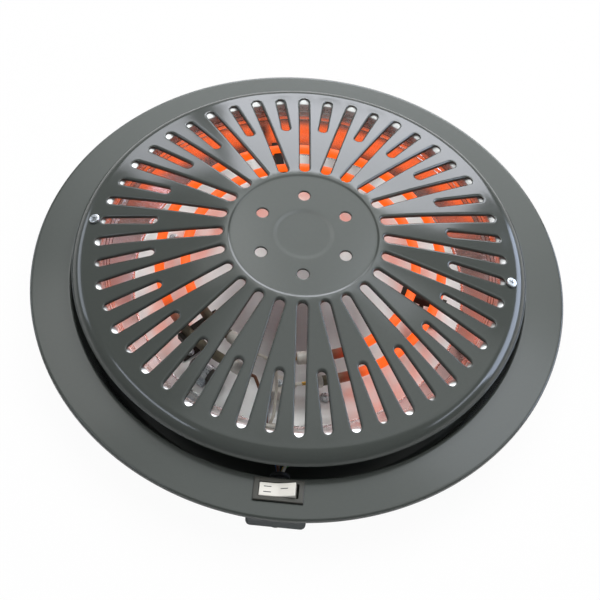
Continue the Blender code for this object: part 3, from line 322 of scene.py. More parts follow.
# %% Stove enamel
def new_finish(name, colour, roughness, metallic=0.0):
    """A material with its colour and gloss on the shader's own sockets."""
    material = bpy.data.materials.new(name)
    material.use_nodes = True
    shader = material.node_tree.nodes["Principled BSDF"]
    shader.inputs["Base Color"].default_value = linear(colour)
    shader.inputs["Roughness"].default_value = roughness
    shader.inputs["Metallic"].default_value = metallic
    material.diffuse_color = linear(colour)
    return material, material.node_tree, shader


def per_mm(size_mm):
    """Texture scale for a pattern whose features are about this many millimetres across."""
    return 1000.0 / size_mm


def speckle(tree, shader, size_mm, dark, light, rough_low, rough_high, bump_share, height_mm):
    """Noise of one real size that shifts colour and roughness and lifts the surface a little."""
    place = add(tree, "ShaderNodeTexCoord").outputs["Object"]
    noise = add(tree, "ShaderNodeTexNoise", {"Vector": place, "Scale": per_mm(size_mm), "Detail": 3.0,
                                             "Roughness": 0.55})
    tint = add(tree, "ShaderNodeMix", {0: noise.outputs[0], 6: linear(dark), 7: linear(light)},
               data_type="RGBA")
    tree.links.new(tint.outputs[2], shader.inputs["Base Color"])
    gloss = add(tree, "ShaderNodeMapRange", {"Value": noise.outputs[0], "From Min": 0.3, "From Max": 0.7,
                                             "To Min": rough_low, "To Max": rough_high})
    tree.links.new(gloss.outputs[0], shader.inputs["Roughness"])
    lift = add(tree, "ShaderNodeBump", {"Height": noise.outputs[0], "Strength": bump_share,
                                        "Distance": height_mm / 1000.0})
    tree.links.new(lift.outputs[0], shader.inputs["Normal"])
    return place


def speckled(name, colour, roughness, metallic, *grain):
    """A finish that needs no more than its colour, its gloss and a grain of one size."""
    material, tree, shader = new_finish(name, colour, roughness, metallic)
    speckle(tree, shader, *grain)
    return material


ENAMEL = speckled("baked_graphite_stove_enamel", "#464A47", 0.14, 0.0,
                  2.2, "#454946", "#484C49", 0.125, 0.155, 0.04, 0.005)
print("enamel:", ENAMEL.name)

# %% [markdown]
# ## Metals
# The pan is spun from aluminium sheet and polished with a mop, so it carries fine rings
# from the spinning tool, drawn here 5 mm apart because the real ones are too fine to show,
# and scratches that run outwards. Heat has given it a thin cloudy oxide, which scatters part
# of the light and keeps the floor of the pan pale. The wall was burnished last and is still
# close to a mirror, which shows the glowing rings as red stripes, and the bead above it is
# dulled by handling. Screws and clips are zinc plated: a bluish silver, cloudy at the size
# of the crystals. Brass is warm and a little dull.

# %% Metals
PAN_BURNISH = (0.119, 0.124)
BEAD_HANDLED = (0.1405, 0.1445)
TOOL_RING_MM = 5.0532
WAVE_RADIANS = 20.0  # how far Blender's ring wave turns in one unit of its scale

PAN_METAL, pan_tree, pan_shader = new_finish("spun_polished_aluminium", "#F1F0EE", 0.34, 0.72)
pan_place = speckle(pan_tree, pan_shader, 14.0, "#ECEBE9", "#F6F5F3", 0.30, 0.38, 0.0, 0.01)
pan_flat = add(pan_tree, "ShaderNodeVectorMath", {0: pan_place, 1: (1.0, 1.0, 0.0)},
               operation="MULTIPLY").outputs[0]
pan_aim = add(pan_tree, "ShaderNodeVectorMath", {0: pan_flat}, operation="NORMALIZE").outputs[0]
scratches = add(pan_tree, "ShaderNodeTexNoise", {"Vector": pan_aim, "Scale": 90.0, "Detail": 2.0})
pan_reach = add(pan_tree, "ShaderNodeVectorMath", {0: pan_flat}, operation="LENGTH")
wall_share = add(pan_tree, "ShaderNodeMapRange", {
    "Value": pan_reach.outputs["Value"], "From Min": PAN_BURNISH[0], "From Max": PAN_BURNISH[1]},
    interpolation_type="SMOOTHSTEP")
floor_gloss = add(pan_tree, "ShaderNodeMapRange", {
    "Value": scratches.outputs[0], "From Min": 0.25, "From Max": 0.75, "To Min": 0.28, "To Max": 0.38})
wall_gloss = add(pan_tree, "ShaderNodeMapRange", {
    "Value": scratches.outputs[0], "From Min": 0.25, "From Max": 0.75, "To Min": 0.13, "To Max": 0.22})
pan_gloss = add(pan_tree, "ShaderNodeMapRange", {
    "Value": wall_share.outputs[0], "To Min": floor_gloss.outputs[0], "To Max": wall_gloss.outputs[0]})
pan_bare = add(pan_tree, "ShaderNodeMapRange", {
    "Value": wall_share.outputs[0], "To Min": 0.80, "To Max": 0.93})
bead_dulling = add(pan_tree, "ShaderNodeMapRange", {
    "Value": pan_reach.outputs["Value"], "From Min": BEAD_HANDLED[0], "From Max": BEAD_HANDLED[1],
    "To Max": 0.22})
pan_rough = add(pan_tree, "ShaderNodeMath", {0: pan_gloss.outputs[0], 1: bead_dulling.outputs[0]},
                operation="ADD")
pan_tree.links.new(pan_rough.outputs[0], pan_shader.inputs["Roughness"])
pan_tree.links.new(pan_bare.outputs[0], pan_shader.inputs["Metallic"])
rings = add(pan_tree, "ShaderNodeTexWave", {
    "Vector": pan_place, "Scale": per_mm(TOOL_RING_MM) * math.tau / WAVE_RADIANS, "Distortion": 0.4,
    "Detail": 1.0}, wave_type="RINGS", rings_direction="Z")
ring_lift = add(pan_tree, "ShaderNodeBump", {"Height": rings.outputs["Fac"], "Strength": 0.12,
                                             "Distance": 0.00003})
pan_tree.links.new(ring_lift.outputs[0], pan_shader.inputs["Normal"])

ZINC = speckled("zinc_plated_steel", "#CDD0D3", 0.28, 1.0, 1.6, "#C2C6CA", "#DEE0E1", 0.22, 0.38, 0.12, 0.01)
BRASS = speckled("turned_brass", "#B98F47", 0.3, 1.0, 1.2, "#AC8440", "#C79C52", 0.24, 0.40, 0.15, 0.01)
BLACK_STEEL = speckled("heat_blackened_steel", "#2C2A26", 0.5, 0.6,
                       2.0, "#211F1C", "#3A352E", 0.42, 0.62, 0.2, 0.02)
print("metals:", PAN_METAL.name, ZINC.name, BRASS.name, BLACK_STEEL.name)

# %% [markdown]
# ## Ceramic, plastics and rubber
# Steatite beads are fired with a thin glaze. The switch is moulded plastic, glossy on the
# white rocker and satin on its dark frame, and the box below the flange has a fine
# grained face with level lines from its mould. Rubber is dull with a faint sheen.

# %% Ceramic, plastics and rubber
STEATITE = speckled("glazed_steatite", "#EDE9E0", 0.25, 0.0,
                    1.5, "#E4DED2", "#F4F1EA", 0.18, 0.34, 0.15, 0.02)
ROCKER_WHITE = speckled("gloss_white_rocker_plastic", "#EEEAE2", 0.22, 0.0,
                        0.9, "#EBE7DF", "#F1EEE7", 0.18, 0.26, 0.08, 0.01)
DARK_PLASTIC = speckled("satin_dark_switch_plastic", "#3F3E39", 0.42, 0.0,
                        0.7, "#3B3A35", "#45443F", 0.36, 0.50, 0.25, 0.02)

BOX_PLASTIC, box_tree, box_shader = new_finish("grained_grey_box_plastic", "#4C5051", 0.55)
box_place = speckle(box_tree, box_shader, 0.8, "#484C4D", "#515657", 0.50, 0.62, 0.2, 0.02)
box_flat = add(box_tree, "ShaderNodeMapping", {"Vector": box_place, "Scale": (0.04, 0.04, 1.0)})
box_lines = add(box_tree, "ShaderNodeTexNoise", {"Vector": box_flat.outputs[0], "Scale": per_mm(0.9),
                                                 "Detail": 2.0})
box_lift = add(box_tree, "ShaderNodeBump", {"Height": box_lines.outputs[0], "Strength": 0.5,
                                            "Distance": 0.00008})
box_tree.links.new(box_lift.outputs[0], box_shader.inputs["Normal"])

RUBBER, rubber_tree, rubber_shader = new_finish("black_rubber", "#1C1C1C", 0.75)
speckle(rubber_tree, rubber_shader, 0.8, "#191919", "#222222", 0.68, 0.82, 0.3, 0.03)
rubber_shader.inputs["Sheen Weight"].default_value = 0.15

MARK = speckled("dark_printed_mark", "#4A4A48", 0.5, 0.0, 0.5, "#444442", "#50504E", 0.45, 0.55, 0.1, 0.01)
print("moulded finishes:", ROCKER_WHITE.name, DARK_PLASTIC.name, BOX_PLASTIC.name)

# %% [markdown]
# ## The glowing sheath
# The rings are steel tubes filled with magnesia round a hot wire. Towards the switch the
# ends stay cold, a khaki scale on bare steel. Everywhere else the tube glows orange. The
# share of heat is read from the direction about the axis, with a soft change over it.

# %% The glowing sheath
COLD_MIDDLE = math.radians(254.0)
COLD_EDGE = math.radians(50.0)
HOT_EDGE = math.radians(30.0)

SHEATH, sheath_tree, sheath_shader = new_finish("glowing_steel_sheath", "#6A6250", 0.5, 0.3)
sheath_place = speckle(sheath_tree, sheath_shader, 2.5, "#575040", "#7C735E", 0.42, 0.60, 0.3, 0.02)
level_place = add(sheath_tree, "ShaderNodeVectorMath", {0: sheath_place, 1: (1.0, 1.0, 0.0)},
                  operation="MULTIPLY").outputs[0]
aim = add(sheath_tree, "ShaderNodeVectorMath", {0: level_place}, operation="NORMALIZE").outputs[0]
coldness = add(sheath_tree, "ShaderNodeVectorMath", {0: aim, 1: tuple(polar(1.0, COLD_MIDDLE))},
               operation="DOT_PRODUCT").outputs["Value"]
heat = add(sheath_tree, "ShaderNodeMapRange", {"Value": coldness, "From Min": math.cos(COLD_EDGE),
                                               "From Max": math.cos(HOT_EDGE), "To Min": 1.0, "To Max": 0.0},
           interpolation_type="SMOOTHSTEP").outputs[0]
glow = add(sheath_tree, "ShaderNodeValToRGB", {"Fac": heat})
glow.color_ramp.elements[0].color = linear("#000000")
glow.color_ramp.elements[1].color = linear("#FF5E0C")
warming = glow.color_ramp.elements.new(0.45)
warming.color = linear("#7A1C04")
sheath_tree.links.new(glow.outputs["Color"], sheath_shader.inputs["Emission Color"])
sheath_shader.inputs["Emission Strength"].default_value = 1.1
print("sheath:", SHEATH.name)

# %% [markdown]
# ## The grille, one sector of it
# The grille is pressed from one steel disc: 24 long slots from the hub to the rim, 24
# short ones between them, and an edge rolled down round every slot. All 24 sectors are
# alike, so one is drawn flat as a mesh: loops of points run from the sector's border in
# to each slot, then over its rolled edge and down the wall. Geometry Nodes repeat it and
# lift it onto the dome, which keeps every rolled edge the same.

# %% One sector of the grille, drawn flat
SECTORS = 24
SECTOR = math.tau / SECTORS
ARC_STEPS = 8
LONG_SLOT = (HUB_RADIUS + 0.0011, 0.1476, 0.007)
SHORT_SLOT = (0.1047, 0.1463, 0.006)
CELL_START = 0.0543
BAR_END = 0.100
CELL_END = 0.1535
BAR_STATIONS = 9
SLOT_STATIONS = 8
ROLL_RADIUS = 0.0016
ROLL_STEPS = 5
SLOT_WALL = 0.0013
WALL_FADE = (0.1437, 0.1478)
WALL_LEAST_SHARE = 0.36
LONG_HALF_AT_HUB = 0.0063

STATIONS = spaced(CELL_START, BAR_END, BAR_STATIONS)[:-1] + spaced(BAR_END, CELL_END, SLOT_STATIONS)


def border(radius):
    """Angle from a long slot's middle to the border with its short neighbour."""
    share = (radius - HUB_RADIUS) / (CELL_END - HUB_RADIUS)
    outer_half = CELL_END * SECTOR / 4.0
    return (LONG_HALF_AT_HUB + (outer_half - LONG_HALF_AT_HUB) * share) / radius


def cell_loop(low_turn, high_turn, stations, middle):
    """Points round a cell, clockwise from its inner low corner, about its middle angle."""
    first, last = stations[0], stations[-1]
    inner = [polar(first, t - middle) for t in spaced(low_turn(first), high_turn(first), ARC_STEPS)[:-1]]
    high = [polar(r, high_turn(r) - middle) for r in stations[:-1]]
    outer = [polar(last, t - middle) for t in spaced(high_turn(last), low_turn(last), ARC_STEPS)[:-1]]
    low = [polar(r, low_turn(r) - middle) for r in reversed(stations[1:])]
    return inner + high + outer + low


def slot_loop(slot, stations, margin, drop):
    """Points round a slot, in step with the loop of its cell, at a margin outside it."""
    start, end, width = slot
    half = width / 2.0
    inner_x, outer_x = start + half, end - half
    reach = half + margin
    shares = [(r - stations[0]) / (stations[-1] - stations[0]) for r in stations]
    along = [inner_x + (outer_x - inner_x) * share for share in shares]
    turns = spaced(0.0, math.pi, ARC_STEPS)[:-1]
    inner = [Vector((inner_x - reach * math.sin(t), -reach * math.cos(t), 0.0)) for t in turns]
    high = [Vector((x, reach, 0.0)) for x in along[:-1]]
    outer = [Vector((outer_x + reach * math.sin(t), reach * math.cos(t), 0.0)) for t in turns]
    low = [Vector((x, -reach, 0.0)) for x in reversed(along[1:])]
    points = inner + high + outer + low
    for point in points:
        point.z = -drop(point.length)
    return points


def drop_at(depth):
    """A drop that grows shallow near the rim, where the pan lies close under the sheet."""
    def drop(radius):
        share = (WALL_FADE[1] - radius) / (WALL_FADE[1] - WALL_FADE[0])
        return depth * min(max(share, WALL_LEAST_SHARE), 1.0)
    return drop


def rolled_loops(loop_at):
    """Loops over a rolled edge: a flat one beside it, the quarter round, and the wall's foot."""
    loops = [loop_at(ROLL_RADIUS * 1.2, drop_at(0.0))]
    for turn in spaced(0.0, math.pi / 2.0, ROLL_STEPS):
        loops.append(loop_at(ROLL_RADIUS * (1.0 - math.sin(turn)),
                             drop_at(ROLL_RADIUS * (1.0 - math.cos(turn)))))
    loops.append(loop_at(0.0, drop_at(ROLL_RADIUS + SLOT_WALL)))
    return loops


def bridge(shape, loops, turn):
    """Joins loops of points with faces that look up, turned about the axis."""
    rotate = Matrix.Rotation(turn, 3, "Z")
    rows = [[shape.verts.new(rotate @ point) for point in loop] for loop in loops]
    for outside, inside in zip(rows, rows[1:]):
        for i in range(len(outside)):
            j = (i + 1) % len(outside)
            shape.faces.new([inside[i], inside[j], outside[j], outside[i]])


def sheet_rows(shape, rows):
    """Joins open rows of points, each further out than the one before."""
    made = [[shape.verts.new(point) for point in row] for row in rows]
    for inner, outer in zip(made, made[1:]):
        for i in range(len(inner) - 1):
            shape.faces.new([outer[i], outer[i + 1], inner[i + 1], inner[i]])


sector = bmesh.new()
long_cell = cell_loop(lambda r: -border(r), border, STATIONS, 0.0)
long_loops = rolled_loops(lambda margin, drop: slot_loop(LONG_SLOT, STATIONS, margin, drop))
bridge(sector, [long_cell] + long_loops, 0.0)
slot_stations = STATIONS[BAR_STATIONS:]
short_cell = cell_loop(border, lambda r: SECTOR - border(r), slot_stations, SECTOR / 2.0)
short_loops = rolled_loops(lambda margin, drop: slot_loop(SHORT_SLOT, slot_stations, margin, drop))
halfway = [a.lerp(b, 0.5) for a, b in zip(short_cell, short_loops[0])]
bridge(sector, [short_cell, halfway] + short_loops, SECTOR / 2.0)
bar_rows = [[polar(r, turn) for turn in spaced(border(r), SECTOR - border(r), ARC_STEPS)]
            for r in STATIONS[:BAR_STATIONS + 1]]
sheet_rows(sector, bar_rows)
print("sector faces before crest and hub:", len(sector.faces))

# %% [markdown]
# The sheet goes on past the slots: over a rounded crest, down a steep skirt, and into a
# lip that is curled under so that it has no sharp edge. Towards the hub it runs level.
# Heights are given as what they differ from the dome, because the dome is added later.

# %% Crest, skirt and lip of the sector
HUB_BAND = 0.0405


def band_turns(radius, even_share):
    """Angles across a sector, from the uneven ones of its cells to evenly spaced ones."""
    edge = border(radius)
    own = spaced(-edge, edge, ARC_STEPS)[:-1] + spaced(edge, SECTOR - edge, ARC_STEPS)
    even = spaced(-SECTOR / 4.0, SECTOR * 3.0 / 4.0, 2 * ARC_STEPS)
    return [a + (b - a) * even_share for a, b in zip(own, even)]


def band_rows(outline, turns_at):
    """Rows of points across a sector, their heights measured from the dome."""
    return [[polar(radius, turn, height - dome_height(radius)) for turn in turns_at(radius)]
            for radius, height in outline]


SHOULDER_START = math.radians(12.0)
SHOULDER_END = math.radians(64.0)
SHOULDER_RADIUS = 0.0143
SHOULDER_STEPS = 14
shoulder = [(CELL_END + SHOULDER_RADIUS * (math.sin(lean) - math.sin(SHOULDER_START)),
             dome_height(CELL_END) - SHOULDER_RADIUS * (math.cos(SHOULDER_START) - math.cos(lean)))
            for lean in spaced(SHOULDER_START, SHOULDER_END, SHOULDER_STEPS)]
foot_radius, foot_height = shoulder[-1]
skirt = shoulder + rounded([
    (foot_radius, foot_height, 0.0),
    (foot_radius + 0.00015, foot_height - 0.00045, 0.0003),
    (LIP_RADIUS - 0.0001, foot_height - 0.00060, 0.0003),
    (LIP_RADIUS - 0.0001, LIP_HEIGHT - 0.0003, 0.0004),
    (LIP_RADIUS - 0.0008, LIP_HEIGHT - 0.0006, 0.0),
], steps=3)[1:]
print("shoulder foot:", round(foot_radius, 5), round(foot_height, 5))
cell_turns = band_turns(CELL_END, 0.0)
sheet_rows(sector, band_rows(skirt, lambda radius: cell_turns))
HUB_EDGE = (0.0516, 0.0537)
HUB_EDGE_STEPS = 8
HUB_SINK = 0.0006
hub_radii = [HUB_BAND, 0.0445, 0.0480, 0.0503] + spaced(*HUB_EDGE, HUB_EDGE_STEPS) + [CELL_START]
hub_outline = [(r, dome_height(0.0)) for r in hub_radii]


def hub_turns(radius):
    """Angles across the hub, even where the hub's own part begins."""
    return band_turns(CELL_START, (CELL_START - radius) / (CELL_START - HUB_BAND))


sheet_rows(sector, band_rows(hub_outline, hub_turns))
bmesh.ops.rotate(sector, verts=sector.verts, matrix=Matrix.Rotation(SECTOR / 4.0, 3, "Z"))
print("sector faces:", len(sector.faces))

# %% [markdown]
# The hub has six round holes and a shallow round disc pressed into its middle, which stays
# plain. The same way of drawing serves: a sixth of the hub is loops round one hole, and bands.

# %% A sixth of the hub
HOLE_COUNT = 6
HOLE_SECTOR = math.tau / HOLE_COUNT
HOLE_RADIUS = 0.0042
HOLE_CIRCLE = 0.0341
HOLE_BAND = 0.0277
HOLE_ROLL = 0.0007
HOLE_SIDE_STEPS = 10
HOLE_STEPS = 2 * ARC_STEPS * SECTORS // HOLE_COUNT
DISC_DEPTH = 0.0003
DISC_RIM = (0.0180, 0.0224)
DISC_RIM_STEPS = 8


def disc_level(radius):
    """Depth of the disc's face, with a soft S-shaped rim."""
    share = min(max((DISC_RIM[1] - radius) / (DISC_RIM[1] - DISC_RIM[0]), 0.0), 1.0)
    return -DISC_DEPTH * share * share * (3.0 - 2.0 * share)


disc_radii = [0.0, 0.006, 0.013] + spaced(*DISC_RIM, DISC_RIM_STEPS) + [0.0245, HOLE_BAND]
DISC_OUTLINE = [(r, disc_level(r)) for r in disc_radii]

sixth = bmesh.new()
hole_turns = spaced(-HOLE_SECTOR / 2.0, HOLE_SECTOR / 2.0, HOLE_STEPS)
hole_sides = spaced(HOLE_BAND, HUB_BAND, HOLE_SIDE_STEPS)
hole_cell = [polar(HOLE_BAND, t) for t in hole_turns[:-1]] \
    + [polar(r, hole_turns[-1]) for r in hole_sides[:-1]] \
    + [polar(HUB_BAND, t) for t in reversed(hole_turns[1:])] \
    + [polar(r, hole_turns[0]) for r in reversed(hole_sides[1:])]
hole_middle = Vector((HOLE_CIRCLE, 0.0, 0.0))


def hole_loop(margin, drop):
    """Points round the hole, each facing its neighbour on the cell's border."""
    return [hole_middle + (point - hole_middle).normalized() * (HOLE_RADIUS + margin)
            - Vector((0.0, 0.0, drop)) for point in hole_cell]


hole_loops = [hole_cell, hole_loop(HOLE_ROLL + 0.0002, 0.0)]
for turn in spaced(0.0, math.pi / 2.0, ROLL_STEPS):
    hole_loops.append(hole_loop(HOLE_ROLL * (1.0 - math.sin(turn)), HOLE_ROLL * (1.0 - math.cos(turn))))
hole_loops.append(hole_loop(0.0, SLOT_WALL))
bridge(sixth, hole_loops, 0.0)
disc_rows = [[polar(r, t, z) for t in hole_turns] for r, z in DISC_OUTLINE[1:]]
sheet_rows(sixth, disc_rows)
pole = sixth.verts.new((0.0, 0.0, DISC_OUTLINE[0][1]))
first_row = [sixth.verts.new(point) for point in disc_rows[0]]
for a, b in zip(first_row, first_row[1:]):
    sixth.faces.new([pole, a, b])
bmesh.ops.remove_doubles(sixth, verts=sixth.verts, dist=0.000005)
bmesh.ops.rotate(sixth, verts=sixth.verts,
                 matrix=Matrix.Rotation(SECTOR / 4.0 + HOLE_SECTOR / 2.0, 3, "Z"))
print("faces in a sixth of the hub:", len(sixth.faces))

# %% [markdown]
# ## The grille's node tree
# The tree repeats the two sectors about the axis, realizes the copies, welds their shared
# borders and lifts every point onto the dome. Its inputs are the sizes that a maker would
# change. The hub is sunk a little with a soft edge, so that the ring of bars stands proud
# of it, and outside it the dome falls at a slope that grows with the radius. The edge lies
# wholly in the hub's own part, where the rows are fine and evenly spaced, so it is round.

# %% The grille's node tree
def new_tree(name, sockets):
    """A Geometry Nodes tree with a mesh in, a mesh out, and its named inputs."""
    tree = bpy.data.node_groups.new(name, "GeometryNodeTree")
    tree.interface.new_socket("Geometry", in_out="INPUT", socket_type="NodeSocketGeometry")
    for socket_name, kind in sockets:
        tree.interface.new_socket(socket_name, in_out="INPUT", socket_type=kind)
    tree.interface.new_socket("Geometry", in_out="OUTPUT", socket_type="NodeSocketGeometry")
    return tree, tree.nodes.new("NodeGroupInput")


grille_tree, grille_in = new_tree("Slotted dome", [
    ("Sectors", "NodeSocketInt"), ("Hub sector", "NodeSocketObject"), ("Hub sectors", "NodeSocketInt"),
    ("Crest radius", "NodeSocketFloat"), ("Crest height", "NodeSocketFloat"),
    ("Dome run", "NodeSocketFloat"), ("Slope share", "NodeSocketFloat"), ("Crown", "NodeSocketFloat"),
    ("Hub sink", "NodeSocketFloat"), ("Hub edge start", "NodeSocketFloat"),
    ("Hub edge end", "NodeSocketFloat"), ("Weld", "NodeSocketFloat"), ("Finish", "NodeSocketMaterial")])
hub_part = add(grille_tree, "GeometryNodeObjectInfo", {"Object": grille_in.outputs["Hub sector"]})
wheels = []
for part, count in ((grille_in.outputs["Geometry"], grille_in.outputs["Sectors"]),
                    (hub_part.outputs["Geometry"], grille_in.outputs["Hub sectors"])):
    points = add(grille_tree, "GeometryNodePoints", {"Count": count})
    number = add(grille_tree, "GeometryNodeInputIndex").outputs[0]
    pitch = add(grille_tree, "ShaderNodeMath", {0: math.tau, 1: count}, operation="DIVIDE").outputs[0]
    angle = add(grille_tree, "ShaderNodeMath", {0: number, 1: pitch}, operation="MULTIPLY").outputs[0]
    spin = add(grille_tree, "ShaderNodeCombineXYZ", {"Z": angle}).outputs[0]
    wheel = add(grille_tree, "GeometryNodeInstanceOnPoints",
                {"Points": points.outputs[0], "Instance": part, "Rotation": spin})
    wheels.append(add(grille_tree, "GeometryNodeRealizeInstances", {0: wheel.outputs[0]}).outputs[0])
both = add(grille_tree, "GeometryNodeJoinGeometry", {0: wheels[0]})
grille_tree.links.new(wheels[1], both.inputs[0])
welded = add(grille_tree, "GeometryNodeMergeByDistance",
             {"Geometry": both.outputs[0], "Distance": grille_in.outputs["Weld"]})
spot = add(grille_tree, "GeometryNodeInputPosition").outputs[0]
level = add(grille_tree, "ShaderNodeVectorMath", {0: spot, 1: (1.0, 1.0, 0.0)}, operation="MULTIPLY")
radius = add(grille_tree, "ShaderNodeVectorMath", {0: level.outputs[0]}, operation="LENGTH")
inwards = add(grille_tree, "ShaderNodeMath",
              {0: grille_in.outputs["Crest radius"], 1: radius.outputs["Value"]}, operation="SUBTRACT")
run = add(grille_tree, "ShaderNodeClamp",
          {"Value": inwards.outputs[0], "Min": 0.0, "Max": grille_in.outputs["Dome run"]}).outputs[0]
sloped = add(grille_tree, "ShaderNodeMath",
             {0: run, 1: grille_in.outputs["Slope share"], 2: grille_in.outputs["Crest height"]},
             operation="MULTIPLY_ADD").outputs[0]
twice = add(grille_tree, "ShaderNodeMath", {0: grille_in.outputs["Dome run"], 1: 2.0}, operation="MULTIPLY")
left_over = add(grille_tree, "ShaderNodeMath", {0: twice.outputs[0], 1: run}, operation="SUBTRACT")
product = add(grille_tree, "ShaderNodeMath", {0: left_over.outputs[0], 1: run}, operation="MULTIPLY")
width = add(grille_tree, "ShaderNodeMath", {0: grille_in.outputs["Crown"], 1: 2.0}, operation="MULTIPLY")
bend = add(grille_tree, "ShaderNodeMath", {0: product.outputs[0], 1: width.outputs[0]}, operation="DIVIDE")
height = add(grille_tree, "ShaderNodeMath", {0: sloped, 1: bend.outputs[0]}, operation="ADD")
sink_depth = add(grille_tree, "ShaderNodeMath", {0: grille_in.outputs["Hub sink"], 1: -1.0},
                 operation="MULTIPLY")
sunk = add(grille_tree, "ShaderNodeMapRange", {
    "Value": radius.outputs["Value"], "From Min": grille_in.outputs["Hub edge start"],
    "From Max": grille_in.outputs["Hub edge end"], "To Min": sink_depth.outputs[0], "To Max": 0.0},
    interpolation_type="SMOOTHSTEP")
level_off = add(grille_tree, "ShaderNodeMath", {0: height.outputs[0], 1: sunk.outputs[0]}, operation="ADD")
rise = add(grille_tree, "ShaderNodeCombineXYZ", {"Z": level_off.outputs[0]})
lifted = add(grille_tree, "GeometryNodeSetPosition",
             {"Geometry": welded.outputs[0], "Offset": rise.outputs[0]})
real = add(grille_tree, "GeometryNodeRealizeInstances", {0: lifted.outputs[0]})
painted = add(grille_tree, "GeometryNodeSetMaterial",
              {"Geometry": real.outputs[0], "Material": grille_in.outputs["Finish"]})
add(grille_tree, "NodeGroupOutput", {0: painted.outputs[0]})

sixth_piece = as_object("hub_sixth", sixth)
sector_mesh = bpy.data.meshes.new("grille_sector")
sector.to_mesh(sector_mesh)
sector.free()
grille = grow("pressed_grille", sector_mesh, grille_tree, {
    "Sectors": SECTORS, "Hub sector": sixth_piece, "Hub sectors": HOLE_COUNT,
    "Crest radius": CREST_RADIUS, "Crest height": CREST_HEIGHT, "Dome run": DOME_RUN,
    "Slope share": DOME_SLOPE_SHARE, "Crown": DOME_CROWN, "Hub sink": HUB_SINK, "Hub edge start": HUB_EDGE[0],
    "Hub edge end": HUB_EDGE[1], "Weld": 0.00002, "Finish": ENAMEL})
discard(sixth_piece)
thicken(grille, GRILLE_SHEET)
fit(grille, nodes=["grille"])
print("grille faces:", len(grille.data.polygons), "size:", tuple(round(v, 5) for v in grille.dimensions))

# %% [markdown]
# ## Setting out repeated pieces
# Screws, feet, beads and vents are one shape set down in several places. A tiny mesh
# holds the places as points, with the turn of each kept as an attribute, and one tree
# puts a copy of the shape on each of them.

# %% The tree that sets a shape on its places
seat_tree, seat_in = new_tree("Shape on its places", [
    ("Shape", "NodeSocketObject"), ("Size", "NodeSocketFloat"), ("Finish", "NodeSocketMaterial")])
shape_info = add(seat_tree, "GeometryNodeObjectInfo", {"Object": seat_in.outputs["Shape"]})
lean = add(seat_tree, "GeometryNodeInputNamedAttribute", {"Name": "lean"}, data_type="FLOAT_VECTOR")
seated = add(seat_tree, "GeometryNodeInstanceOnPoints",
             {"Points": seat_in.outputs["Geometry"], "Instance": shape_info.outputs["Geometry"],
              "Rotation": lean.outputs[0], "Scale": seat_in.outputs["Size"]})
seat_real = add(seat_tree, "GeometryNodeRealizeInstances", {0: seated.outputs[0]})
seat_painted = add(seat_tree, "GeometryNodeSetMaterial",
                   {"Geometry": seat_real.outputs[0], "Material": seat_in.outputs["Finish"]})
add(seat_tree, "NodeGroupOutput", {0: seat_painted.outputs[0]})


def seat(place, turn):
    """A place and a rotation for one copy."""
    return Vector(place), turn.to_euler()


def set_out(name, shape, seats, finish):
    """Puts copies of a shape on their places, as one plain mesh, and removes the shape."""
    mesh = bpy.data.meshes.new(name)
    mesh.from_pydata([place for place, turn in seats], [], [])
    leans = mesh.attributes.new("lean", "FLOAT_VECTOR", "POINT")
    for entry, (place, turn) in zip(leans.data, seats):
        entry.vector = tuple(turn)
    piece = grow(name, mesh, seat_tree, {"Shape": shape, "Size": 1.0, "Finish": finish})
    discard(shape)
    return piece


print("seat tree inputs:", [item.name for item in seat_tree.interface.items_tree])

# %% [markdown]
# ## Casing
# The casing is one deep-drawn sheet: bowl, rounded mouth, flange, and a rim turned down
# at the edge. It is turned as a skin and given its gauge, then the cooling vents, the
# window for the switch and the holes for feet and leads are cut.

# %% Casing
FOOT_CIRCLE = 0.128
FOOT_ANGLES = evenly(3, math.radians(90.0))
FOOT_BORE = 0.0028
VENT_START = 0.036
VENT_END = 0.074
VENT_HALF = 0.0025
VENT_COUNT = 12
CUT_REACH = 0.003
WINDOW_HALF_LENGTH = 0.0145
WINDOW_HALF_WIDTH = 0.0068
BUSH_BORE = 0.0049
BOWL_DEPTH = 0.036
BOWL_RUN = 0.010
BOX_BUSH_HEIGHT = 0.0232
SWITCH_CIRCLE = 0.1753
FRONT = math.radians(270.0)


def switch_block(name, half_length, half_width, bottom, top, bevel, segments):
    """A block centred on the switch, between two heights."""
    return block(name, (-half_length, -SWITCH_CIRCLE - half_width, bottom),
                 (half_length, -SWITCH_CIRCLE + half_width, top), bevel, segments)


casing = turned("drawn_casing", rounded([
    (0.0, CASING_FLOOR, 0.0),
    (BOWL_FLOOR_RADIUS, CASING_FLOOR, 0.006),
    (MOUTH_RADIUS, FLANGE_TOP, 0.0016),
    (MOUTH_RADIUS + 0.0024, FLANGE_TOP, 0.0),
    (FLANGE_RADIUS - 0.0026, FLANGE_TOP, 0.0),
    (FLANGE_RADIUS, FLANGE_TOP, 0.0018),
    (FLANGE_RADIUS, FLANGE_TOP - RIM_DROP, 0.0),
], steps=8), FINE_SIDES)
thicken(casing, CASING_SHEET, even=True)
vent_cut = moulded("vent_cut", (VENT_START, -VENT_HALF, -CUT_REACH), (VENT_END, VENT_HALF, CUT_REACH),
                   VENT_HALF - 0.00001)
vents = set_out("vents", vent_cut, [seat((0.0, 0.0, CASING_FLOOR), Matrix.Rotation(a, 3, "Z"))
                                    for a in evenly(VENT_COUNT, 0.0)], ENAMEL)
window = switch_block("switch_window", WINDOW_HALF_LENGTH, WINDOW_HALF_WIDTH,
                      FLANGE_TOP - 2.0 * CUT_REACH, FLANGE_TOP + 2.0 * CUT_REACH, 0.0005, 4)
foot_bores = set_out("foot_bores", rod("foot_bore", FOOT_BORE, -0.004, 0.004),
                     [seat(polar(FOOT_CIRCLE, a, CASING_FLOOR), Matrix.Identity(3)) for a in FOOT_ANGLES],
                     ENAMEL)
